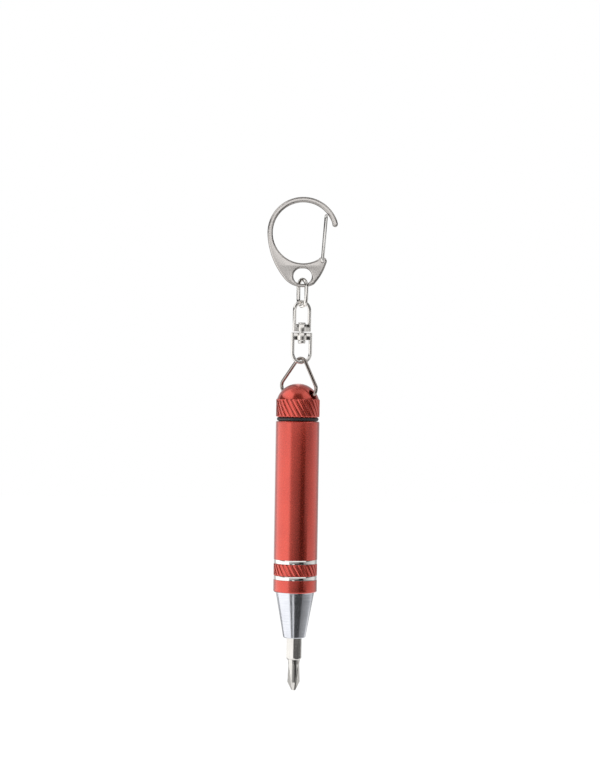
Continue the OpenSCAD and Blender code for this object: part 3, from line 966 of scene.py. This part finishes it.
@dataclass
class SwivelChain:
    """The oval link, the two loops of the swivel, its rivet and the triangle ring."""

    link_wire: float = 1.1
    link_turn: float = 58.0
    hang_gap: float = 0.12
    hook_t: float = HOOK_T
    swivel_wire: float = 1.0
    swivel_w: float = 6.0
    hub_d: float = 2.7
    hub_h: float = 2.05
    hub_edge: float = 0.18
    web_t: float = 0.85
    web_edge: float = 0.14
    rivet_d: float = 1.3
    rivet_play: float = 0.05
    rivet_head_d: float = 2.1
    rivet_head_h: float = 0.95
    rivet_peen_h: float = 0.4
    rivet_edge: float = 0.05
    head_round: float = 0.45
    peen_round: float = 0.25
    rivet_faces: int = 40
    upper_turn: float = 35.0
    lower_turn: float = 15.0
    ring_wire: float = 1.0
    ring_h: float = 9.45
    ring_top_bend: float = 1.9
    ring_corner_bend: float = 2.0
    ring_reach: float = 1.45
    ring_turn: float = RING_TURN
    ring_lean: float = 5.5
    wire_ease: float = 0.05
    dome_r: float = TOOL_R
    hole_drop: float = HOLE_DROP

    def build(self) -> None:
        """Makes the chain from the top down, its wires a hair thin so that they pass at their limits."""
        self.build_link()
        self.build_loop("upper", self.upper_turn, 1)
        self.build_loop("lower", self.lower_turn, -1)
        self.build_rivet()
        self.build_triangle()

    def build_link(self) -> None:
        """Bends the oval link's wire."""
        low, high = span("oval_link")
        width = self.hook_t + self.link_wire + 2 * self.hang_gap
        lane = width / math.sin(math.radians(self.link_turn))
        bend = (lane + self.hang_gap) / 2
        top = high - self.link_wire / 2 - bend
        bottom = low + self.link_wire / 2 + bend
        path = arc((0, top), bend, 0, 180, 28) + arc((0, bottom), bend, 180, 360, 28)
        link = Shell().wire(path, self.link_wire - self.wire_ease, True)
        link.moved(turn(-self.link_turn, "Z"), UPRIGHT)
        seat(link.object("link_wire", BRIGHT_NICKEL), "link", "satin_nickel", "oval_link")

    def build_loop(self, half: str, turned: float, way: int) -> None:
        """Makes one half of the swivel, a loop on a hub.

        Args:
            half: which half, for its names.
            turned: its turn about the chain, in degrees.
            way: 1 where the loop stands up from its hub, -1 where it hangs.
        """
        node = f"swivel_{half}_loop"
        low, high = span(node)
        base, height = (low if way > 0 else high), high - low
        bend = (self.swivel_w - self.swivel_wire) / 2
        rise = height - self.swivel_w / 2
        path = [(bend, 0.0)] + arc((0, rise), bend, 0, 180, 28) + [(-bend, 0.0)]
        loop = Shell().wire(path, self.swivel_wire - self.wire_ease, False).moved(UPRIGHT)
        top, edge, bore = self.hub_h, self.hub_edge, self.rivet_d / 2 + self.rivet_play
        hub = Shell().lathe(rounded([
            (bore, 0, 0), (self.hub_d / 2, 0, edge), (self.hub_d / 2, top, edge), (bore, top, 0)]), True,
            SMALL_ROUND)
        sheet = [(-bend, 0.0), (bend, 0.0), (bend, top), (-bend, top)]
        web = Shell().plate([sheet], self.web_t, self.web_edge, 3).moved(UPRIGHT)
        whole = loop.take(hub).take(web)
        flip = Matrix.Diagonal((1, 1, way, 1))
        whole.moved(shift(0, 0, base), turn(turned, "Z"), flip)
        made = whole.object(f"swivel_{half}_casting", BRIGHT_NICKEL)
        seat(made, f"{half}_loop", "satin_nickel", node)

    def build_rivet(self) -> None:
        """Turns the headed pin of the swivel."""
        low, high = span("swivel_rivet")
        head, shank, edge = self.rivet_head_d / 2, self.rivet_d / 2, self.rivet_edge
        under, over = low + self.rivet_head_h, high - self.rivet_peen_h
        rivet = Shell().lathe(rounded([
            (0, low, 0), (head, low, self.head_round), (head, under, edge), (shank, under, 0),
            (shank, over, 0), (head, over, edge), (head, high, self.peen_round),
            (0, high, 0)]), segments=self.rivet_faces)
        seat(rivet.object("rivet_pin", BRIGHT_WIRE), "lower_loop", "bright_wire", "swivel_rivet")

    def build_triangle(self) -> None:
        """Bends the triangle's wire, whose base lies in the cap's hole."""
        up = self.dome_r - self.hole_drop
        half = math.sqrt(self.dome_r ** 2 - up ** 2) + self.ring_reach
        corner_x = half - self.ring_wire / 2 - self.ring_corner_bend
        top = self.ring_h + self.ring_wire / 2 - self.ring_top_bend
        side = Vector((-corner_x, top - self.ring_corner_bend))
        normal = math.degrees(
            math.atan2(side.y, side.x)
            - math.acos((self.ring_corner_bend - self.ring_top_bend) / side.length))
        path = (
            arc((corner_x, self.ring_corner_bend), self.ring_corner_bend, -90, normal, 16)
            + arc((0, top), self.ring_top_bend, normal, 180 - normal, 20)
            + arc((-corner_x, self.ring_corner_bend), self.ring_corner_bend, 180 - normal, 270, 16)
        )
        lower_bottom = span("swivel_lower_loop")[0]
        inside = lower_bottom + self.swivel_wire + self.hang_gap
        base = inside - self.ring_h * math.cos(math.radians(self.ring_lean))
        ring = Shell().wire(path, self.ring_wire - self.wire_ease, True).moved(
            on_tool(base), turn(-self.ring_turn, "Z"), turn(self.ring_lean, "Y"), UPRIGHT)
        # The triangle's wire carries painted shade: a darkened copy of the bright wire's colours
        seat(ring.object("triangle_wire", SHADED_SPRING_WIRE), "triangle", "bright_wire", "triangle_ring")


@dataclass
class Knurl:
    """The slanted ridges that both red pieces share."""

    count: int = 27
    depth: float = 0.22
    slant: float = 30.0
    crest: float = 0.25
    groove: float = 0.04
    per_ridge: int = 14
    rows: int = 16
    core_depths: float = 3.0
    chamfer: float = 0.16

    def band(self, name: str, radius: float, low: float, length: float) -> Object:
        """Makes a knurled band on the screwdriver's axis.

        Args:
            name: the piece's name.
            radius: the ridges' outside radius.
            low: height of the band's lower edge.
            length: the band's length.

        Returns:
            The band.
        """
        climb = -length * math.tan(math.radians(self.slant)) / radius
        sleeve = RidgedSleeve(
            name, ridges=self.count, segments=self.count * self.per_ridge, rows=self.rows, outer=radius,
            root=radius - self.depth, core=radius - self.core_depths * self.depth, length=length,
            turn=climb, crest=self.crest, groove=self.groove, chamfer=self.chamfer)
        return sleeve.object(RED_ANODISED, low)


@dataclass
class EndCap:
    """The red screw cap with its dome, cross hole, knurl, threaded spigot and rubber ring."""

    dome_r: float = TOOL_R
    dome_h: float = 4.3
    hole_d: float = 2.4
    hole_drop: float = HOLE_DROP
    hole_turn: float = -RING_TURN
    band: float = 4.9
    neck_r: float = 4.62
    thread_r: float = 5.14
    thread_depth: float = 0.4
    thread_len: float = THREAD_LEN
    thread_pitch: float = 1.0
    thread_flat: float = 0.25
    thread_lead: float = 0.3
    spigot_inset: float = 0.1
    spigot_lead: float = 0.4
    spigot_edge: float = 0.1
    drill_reach: float = 8.0
    seal_d: float = 11.5
    seal_t: float = 1.1
    seal_gap: float = 0.05
    knurl: Knurl = field(default_factory=Knurl)

    def build(self) -> None:
        """Makes the cap, its knurl, its thread and the rubber ring."""
        bottom, top = span("end_cap")
        base = top - self.dome_h
        flange = base - self.band
        shoulder = flange - self.seal_t - 2 * self.seal_gap
        core = self.dome_r - 2 * self.knurl.depth
        root = self.thread_r - self.thread_depth
        cut_angle = math.degrees(math.asin((self.dome_r - self.dome_h) / self.dome_r))
        dome = arc((0, top - self.dome_r), self.dome_r, 90, cut_angle, 40)
        spigot, lead, edge = root - self.spigot_inset, self.spigot_lead, self.spigot_edge
        profile = [(0.0, top)] + dome[1:] + rounded([
            (dome[-1][0], base, 0), (core, base, 0), (core, flange, 0), (self.neck_r, flange, edge),
            (self.neck_r, shoulder, 0), (spigot, shoulder, 0), (spigot, bottom + lead, edge),
            (root - lead, bottom, edge / 2), (0, bottom, 0)])
        cap = Shell().lathe(profile, segments=FINE_ROUND).stood("cap_dome", RED_ANODISED)
        rim, end = self.hole_d / 2, self.drill_reach
        drill = Shell().lathe([(0, -end), (rim, -end), (rim, end), (0, end)], segments=MID_ROUND)
        drill.moved(on_tool(top - self.hole_drop), turn(self.hole_turn, "Z"), turn(90, "Y"))
        cut(cap, drill.object("hole_drill", RED_ANODISED))
        seat(cap, "cap", "red_anodised", "end_cap")
        band = self.knurl.band("cap_knurl", self.dome_r, flange, self.band)
        seat(band, "cap", "red_anodised")
        turns = self.thread_len / self.thread_pitch
        thread = RidgedSleeve(
            "cap_thread", ridges=1, segments=SMALL_ROUND, rows=240, outer=self.thread_r, root=root,
            core=root - self.thread_lead, length=self.thread_len, turn=-2 * math.pi * turns,
            crest=self.thread_flat, groove=self.thread_flat, chamfer=self.thread_lead)
        seat(thread.object(RED_ANODISED, bottom), "cap", "red_anodised")
        mid = (self.seal_d - self.seal_t) / 2
        ring = Shell().lathe(
            arc((mid, flange - self.seal_gap - self.seal_t / 2), self.seal_t / 2, 0, 350, 35), True)
        seat(ring.stood("rubber_ring", BLACK_RUBBER), "seal", "black_rubber", "cap_o_ring")


@dataclass
class Handle:
    """The red barrel with its bright rings and knurl, the turned nose and the magnet in it."""

    radius: float = TOOL_R
    wall: float = 1.2
    plain: float = 38.0
    bright_len: float = 1.1
    bright_cut: float = 0.08
    band: float = 3.35
    chamfer: float = 0.25
    edge: float = 0.05
    ring_seat: float = 0.14
    ring_root: float = 0.2
    ring_fall: float = 0.05
    ring_crown: float = 0.35
    ring_round: float = 0.3
    ring_edge: float = 0.03
    thread_r: float = 5.2
    thread_len: float = THREAD_LEN
    thread_relief: float = 0.5
    nose_top_r: float = 5.25
    nose_spigot: float = 8.0
    nose_play: float = 0.02
    spigot_edge: float = 0.1
    spare_gap: float = 0.03
    nose_len: float = 12.6
    mouth_r: float = 3.075
    mouth_chamfer: float = 0.2
    mouth_edge: float = 0.06
    lip: float = 0.35
    lip_edge: float = 0.04
    socket_af: float = 4.103
    socket_depth: float = 13.5
    pocket_r: float = 2.0
    pocket_h: float = 3.05
    overrun: float = 0.5
    bit_turn: float = BIT_TURN
    knurl: Knurl = field(default_factory=Knurl)

    def build(self) -> None:
        """Makes the barrel, its rings and knurl, and the nose, and dresses the magnet."""
        low, high = span("barrel")
        self.build_barrel(low, high)
        self.build_nose(low)
        dress("bit_magnet", PLATED_MAGNET)

    def build_barrel(self, low: float, high: float) -> None:
        """Turns the barrel.

        Args:
            low: height of its lower end.
            high: height of its upper end.
        """
        bright_1 = high - self.plain
        band_top = bright_1 - self.bright_len
        band_low = band_top - self.band
        collar = band_low - self.bright_len
        out, seat_r, core = self.radius, self.radius - self.ring_seat, self.radius - 2 * self.knurl.depth
        bore, cham, edge = self.radius - self.wall, self.chamfer, self.edge
        relief = high - self.thread_len - self.thread_relief
        profile = rounded([
            (bore, low, 0), (out - cham, low, edge), (out, low + cham, 2 * edge), (out, collar, edge),
            (seat_r, collar, 0), (seat_r, band_low, 0), (core, band_low, 0), (core, band_top, 0),
            (seat_r, band_top, 0), (seat_r, bright_1, 0), (out, bright_1, edge),
            (out, high - cham, 2 * edge), (out - cham, high, edge), (self.thread_r, high, edge),
            (self.thread_r, relief, 0), (bore, relief, 0), (bore, low, 0)])[:-1]
        barrel = Shell().lathe(profile, True, FINE_ROUND).stood("barrel_tube", RED_ANODISED)
        seat(barrel, "handle", "red_anodised", "barrel")
        seat(self.knurl.band("barrel_knurl", out, band_low, self.band), "handle", "red_anodised")
        face, inner = out - self.bright_cut, seat_r - self.ring_root
        rim, crown, soft = face - self.ring_fall, self.ring_crown, self.ring_round
        for name, base in (("upper", band_top), ("lower", collar)):
            top = base + self.bright_len
            ring = rounded([
                (inner, base, 0), (rim, base, self.ring_edge), (face, base + crown, soft),
                (face, top - crown, soft), (rim, top, self.ring_edge), (inner, top, 0)])
            made = Shell().lathe(ring, True, FINE_ROUND).stood(f"bright_ring_{name}", BRIGHT_CUT)
            seat(made, "handle", "turned_aluminium")

    def build_nose(self, top: float) -> None:
        """Turns the nose and cuts its hexagonal socket.

        Args:
            top: height of the barrel's lower end, where the nose starts.
        """
        mouth, inner = top - self.nose_len, self.radius - self.wall - self.nose_play
        stand = top + self.nose_spigot - self.spare_gap
        cham, edge = self.mouth_chamfer, self.mouth_edge
        profile = rounded([
            (0, mouth, 0), (self.mouth_r - cham, mouth, edge), (self.mouth_r, mouth + cham, edge),
            (self.nose_top_r, top - self.lip, self.lip_edge), (self.nose_top_r, top, 0), (inner, top, 0),
            (inner, stand, self.spigot_edge), (0, stand, 0)])
        nose = Shell().lathe(profile, segments=FINE_ROUND).stood("nose_turning", TURNED_ALUMINIUM)
        floor = mouth + self.socket_depth
        under, over, wide = floor - self.overrun, floor + self.pocket_h, self.pocket_r
        socket = Shell().prism(hexagon(self.socket_af, self.bit_turn), mouth - 2 * self.overrun, floor)
        pocket = Shell().lathe([(0, under), (wide, under), (wide, over), (0, over)], segments=SMALL_ROUND)
        broach = socket.stood("socket_broach", TURNED_ALUMINIUM)
        cut(nose, broach, pocket.stood("pocket_drill", TURNED_ALUMINIUM))
        seat(nose, "handle", "turned_aluminium", "nose_cone")


@dataclass
class Bits:
    """The cross-point bit in the nose and the three spares in the barrel."""

    af: float = 4.003
    length: float = 28.0
    shank: float = 8.5
    chamfer: float = 0.35
    chamfer_rise: float = 1.2
    rear_rise: float = -1.0
    edge: float = 0.09
    neck_len: float = 1.3
    cross_d: float = 3.4
    tip_d: float = 1.1
    core_d: float = 0.5
    neck_share: float = 0.88
    cross_angle: float = 26.5
    flute_root: float = 0.28
    tip_edge: float = 0.08
    neck_round: float = 0.3
    overrun: float = 0.5
    bit_turn: float = BIT_TURN

    def build(self) -> None:
        """Makes the bit in use and dresses the spares."""
        low, high = span("driver_bit")
        corner = self.af / math.sqrt(3)
        front = high - (self.length - self.shank)
        bar = Shell().prism(hexagon(self.af, self.bit_turn), front, high)
        body = bar.stood("bit_hexagon", TOOL_STEEL, self.edge)
        flat = (self.af - self.chamfer) / 2
        reach = corner - flat + self.chamfer
        trims = []
        for name, end, rise in (("front", front, self.chamfer_rise), ("rear", high, self.rear_rise)):
            past = end - math.copysign(self.chamfer, rise)
            ring = Shell().lathe([
                (flat, past), (flat, end), (flat + reach, end + rise * reach), (flat + reach, past)], True)
            trims.append(ring.stood(f"{name}_trim", TOOL_STEEL))
        cut(body, *trims)
        seat(body, "driver_bit", "tool_steel", "driver_bit")
        self.build_point(low, front)
        for node in ("slotted_bit", "small_cross_bit", "hex_key_bit"):
            dress(node, TOOL_STEEL)

    def build_point(self, low: float, front: float) -> None:
        """Turns the bit's round end and cuts its four flutes.

        Args:
            low: height of the tip.
            front: height of the hexagon's lower face.
        """
        wide, neck = self.cross_d / 2, self.neck_share * self.cross_d / 2
        taper = (wide - self.tip_d / 2) / math.tan(math.radians(self.cross_angle))
        root = front + self.overrun
        profile = rounded([
            (0, low, 0), (self.tip_d / 2, low, self.tip_edge), (wide, low + taper, self.neck_round),
            (neck, front - self.neck_len, self.neck_round), (wide, front, 0), (wide, root, 0), (0, root, 0)])
        point = Shell().lathe(profile, segments=MID_ROUND).moved(on_tool(0), turn(self.bit_turn, "Z"))
        made = point.object("bit_cross_point", TOOL_STEEL)
        flute = self.shank - self.chamfer - wide / 2
        tilt = math.degrees(math.atan((2 * neck - self.core_d) / 2 / flute))
        groove = (
            [(self.cross_d, 0.0)]
            + arc((self.flute_root, self.flute_root), self.flute_root, 270, 180, 8)
            + [(0.0, self.cross_d), (self.cross_d, self.cross_d)]
        )
        cutters = []
        for side in range(4):
            blade = Shell().prism(groove, -self.overrun, flute + self.overrun).moved(
                on_tool(low), turn(side * 90 + 45 + self.bit_turn, "Z"), shift(self.core_d / 2, 0, 0),
                turn(tilt, "Y"), turn(-45, "Z"))
            cutters.append(blade.object(f"flute_cutter_{side}", TOOL_STEEL))
        cut(made, *cutters)
        seat(made, "driver_bit", "tool_steel")


@dataclass(frozen=True)
class Card:
    """A tall grey card beside the set, seen only in reflections."""

    name: str
    start: float
    end: float
    low: float
    high: float
    level: float
    far_level: float | None = None


@dataclass(frozen=True)
class Lamp:
    """A soft round lamp that reflections don't show."""

    name: str
    place: Spot
    size: float
    power: float


@dataclass
class Studio:
    """Camera, soft light, pale floor and the cards that metal reflects; lengths in metres."""

    distance: float = 0.61
    aim: Spot = (-0.00025, 0.0, -0.04078)
    roll: float = 0.93
    focal_px: float = 2217.0
    long_side_px: float = 762.0
    sensor: float = 36.0
    clip: Point = (0.01, 20.0)
    floor_z: float = -0.16
    floor_half: float = 1.6
    floor_glow: float = 0.72
    room_light: float = 1.0
    lamps: tuple[Lamp, ...] = (
        Lamp("key_lamp", (-0.45, -0.35, 0.35), 0.4, 4.0),
        Lamp("fill_lamp", (0.5, -0.3, 0.15), 0.3, 0.8),
    )
    lamp_aim: Spot = (0.0, 0.0, -0.06)
    card_distance: float = 0.5
    card_steps: int = 12
    lid_z: float = 0.95
    lid_level: float = 0.6
    cards: tuple[Card, ...] = (
        Card("left_softbox", -126, -34, -0.6, 0.0, 1.3),
        Card("left_dark_band", -126, -60, 0.0, 0.07, 0.04),
        Card("left_high_band", -126, -14, 0.07, 0.22, 0.04),
        Card("left_high_softbox", -122, -40, 0.22, 0.95, 1.25),
        Card("front_low_left", -40, -17, -0.6, -0.2, 0.2),
        Card("front_low_middle", -17, -5, -0.3, -0.2, 0.15),
        Card("front_low_right", -5, 48, -0.6, -0.2, 0.06),
        Card("front_card", -34, 20, -0.2, -0.01, 0.6, 0.16),
        Card("front_high_card", -32, 34, 0.22, 0.95, 0.1),
        Card("front_high_right", 34, 60, 0.25, 0.95, 0.8),
        Card("dark_flag", 20, 44, -0.2, -0.01, 0.02),
        Card("bit_flag", 44, 62, -0.24, -0.16, 0.08),
        Card("right_low_card", 48, 128, -0.6, -0.24, 0.22, 0.5),
        Card("right_low_softbox", 62, 128, -0.24, -0.16, 0.8),
        Card("right_softbox", 44, 100, -0.16, 0.0, 0.3, 0.75),
        Card("right_far_softbox", 100, 128, -0.16, 0.0, 0.75),
        Card("right_dark_band", 60, 128, 0.0, 0.07, 0.04),
        Card("right_high_band", 20, 128, 0.07, 0.25, 0.04),
        Card("right_top_card", 60, 128, 0.25, 0.95, 0.9),
        Card("rear_left_card", -176, -126, -0.6, -0.22, 0.35),
        Card("rear_left_middle", -176, -126, -0.22, -0.04, 0.65),
        Card("rear_left_high", -176, -126, -0.04, 0.95, 0.5),
        Card("rear_right_middle", 128, 176, -0.22, -0.04, 0.45),
        Card("rear_right_high", 128, 176, -0.04, 0.95, 0.4),
    )

    def build(self) -> None:
        """Sets up the whole stage."""
        bpy.context.scene.view_settings.view_transform = "Standard"
        self.build_camera()
        self.build_world()
        self.build_lamps()
        self.build_floor()
        for card in self.cards:
            self.build_card(card)
        self.build_lid()

    def build_camera(self) -> None:
        """Puts the camera where the photograph was taken from, with its slight roll."""
        data = bpy.data.cameras.new("photo_camera")
        data.sensor_width = self.sensor
        data.lens = self.focal_px / self.long_side_px * self.sensor
        data.clip_start, data.clip_end = self.clip
        camera = placed("photo_camera", data)
        place = Matrix.Translation(Vector(self.aim) - Vector((0, self.distance, 0)))
        camera.matrix_world = place @ turn(-self.roll, "Y") @ turn(90, "X")
        bpy.context.scene.camera = camera

    def seen_ray(self, tree: NodeTree) -> NodeSocket:
        """Adds the test for rays that show the background as such.

        Args:
            tree: the world's or the floor's tree.

        Returns:
            A socket that is 1 for camera, glossy and transmission rays.
        """
        rays = add_node(tree, "ShaderNodeLightPath").outputs
        seen = add_node(
            tree, "ShaderNodeMath", {"operation": "MAXIMUM"},
            {0: rays["Is Camera Ray"], 1: rays["Is Glossy Ray"]}).outputs[0]
        return add_node(
            tree, "ShaderNodeMath", {"operation": "MAXIMUM"},
            {0: seen, 1: rays["Is Transmission Ray"]}).outputs[0]

    def build_world(self) -> None:
        """Makes a white surround that lights the object at a plain level."""
        world = bpy.data.worlds.new("white_surround")
        bpy.context.scene.world = world
        world.use_nodes = True
        tree = world.node_tree
        tree.nodes.clear()
        level = add_node(
            tree, "ShaderNodeMapRange", {"To Min": self.room_light, "To Max": 1.0},
            {"Value": self.seen_ray(tree)}).outputs["Result"]
        light = add_node(
            tree, "ShaderNodeBackground", {"Color": (1.0, 1.0, 1.0, 1.0)}, {"Strength": level})
        add_node(tree, "ShaderNodeOutputWorld", None, {"Surface": light.outputs["Background"]})

    def build_lamps(self) -> None:
        """Hangs the soft lamps, which give the floor its shadow and the rubber its highlight."""
        for lamp in self.lamps:
            data = bpy.data.lights.new(lamp.name, "AREA")
            data.shape, data.size, data.energy = "DISK", lamp.size, lamp.power
            made = placed(lamp.name, data)
            made.location = lamp.place
            aim = Vector(self.lamp_aim) - Vector(lamp.place)
            made.rotation_euler = aim.to_track_quat("-Z", "Y").to_euler()
            made.visible_glossy = False

    def build_floor(self) -> None:
        """Lays the pale floor, which shows white but for the object's shadow."""
        half, z = self.floor_half, self.floor_z
        mesh = bpy.data.meshes.new("pale_floor")
        corners = [(-half, -half, z), (half, -half, z), (half, half, z), (-half, half, z)]
        mesh.from_pydata(corners, [], [(0, 1, 2, 3)])
        floor = placed("pale_floor", mesh)
        made = blank_material("pale_floor_paper")
        tree = made.node_tree
        paper = add_node(tree, "ShaderNodeBsdfDiffuse", {"Color": linear("#ffffff")})
        glow = add_node(tree, "ShaderNodeEmission", {"Strength": 1.0})
        share = add_node(
            tree, "ShaderNodeMath", {"operation": "MULTIPLY", 1: self.floor_glow}, {0: self.seen_ray(tree)})
        mixed = add_node(
            tree, "ShaderNodeMixShader", None,
            {0: share.outputs[0], 1: paper.outputs["BSDF"], 2: glow.outputs["Emission"]})
        add_node(tree, "ShaderNodeOutputMaterial", None, {"Surface": mixed.outputs["Shader"]})
        mesh.materials.append(made)
        floor.visible_glossy = False

    def build_card(self, card: Card) -> None:
        """Stands one card up around the set.

        Args:
            card: its place, as angles from the camera, and its grey.
        """
        way = arc((0, 0), self.card_distance, card.start - 90, card.end - 90, self.card_steps)
        points = [(x, y, z) for x, y in way for z in (card.low, card.high)]
        faces = [(k, k + 2, k + 3, k + 1) for k in range(0, 2 * self.card_steps, 2)]
        paint = self.hang(card.name, points, faces, card.level)
        if card.far_level is not None:
            self.grade(paint.node_tree, card)

    def grade(self, tree: NodeTree, card: Card) -> None:
        """Makes a card's glow change evenly from its start to its end.

        Args:
            tree: the card's material tree.
            card: the card, with its level at both ends.
        """
        place = add_node(tree, "ShaderNodeTexCoord").outputs["Object"]
        axes = add_node(tree, "ShaderNodeSeparateXYZ", None, {"Vector": place}).outputs
        front = add_node(tree, "ShaderNodeMath", {"operation": "MULTIPLY", 1: -1.0}, {0: axes["Y"]})
        around = add_node(
            tree, "ShaderNodeMath", {"operation": "ARCTAN2"}, {0: axes["X"], 1: front.outputs[0]}).outputs[0]
        ends = math.radians(card.start), math.radians(card.end), card.level, card.far_level
        level = add_node(
            tree, "ShaderNodeMapRange", dict(zip(RANGE, ends)), {"Value": around}).outputs["Result"]
        tree.links.new(level, tree.nodes["Emission"].inputs["Strength"])

    def build_lid(self) -> None:
        """Hangs a round grey card overhead."""
        rim = arc((0, 0), self.card_distance, 0, 350, 35)
        corners = [(x, y, self.lid_z) for x, y in rim]
        self.hang("overhead_card", corners, [tuple(range(len(rim)))], self.lid_level)

    def hang(
        self, name: str, points: list[Spot], faces: list[tuple[int, ...]], level: float
    ) -> Material:
        """Makes a card that only reflections show.

        Args:
            name: the card's name.
            points: its corners.
            faces: its faces.
            level: its grey, 1 for white.

        Returns:
            The card's material.
        """
        mesh = bpy.data.meshes.new(name)
        mesh.from_pydata(points, [], faces)
        made = placed(name, mesh)
        paint = blank_material(f"{name}_paint")
        tree = paint.node_tree
        glow = add_node(tree, "ShaderNodeEmission", {"Strength": level}).outputs["Emission"]
        add_node(tree, "ShaderNodeOutputMaterial", None, {"Surface": glow})
        mesh.materials.append(paint)
        for ray in ("camera", "diffuse", "shadow", "transmission", "volume_scatter"):
            setattr(made, f"visible_{ray}", False)
        return paint


def main() -> None:
    """Builds the stage and the pieces in order."""
    logging.basicConfig(level=logging.INFO, format="%(message)s")
    Studio().build()
    for assembly in (SnapHook(), SwivelChain(), EndCap(), Handle(), Bits()):
        assembly.build()


if __name__ == "__main__":
    main()
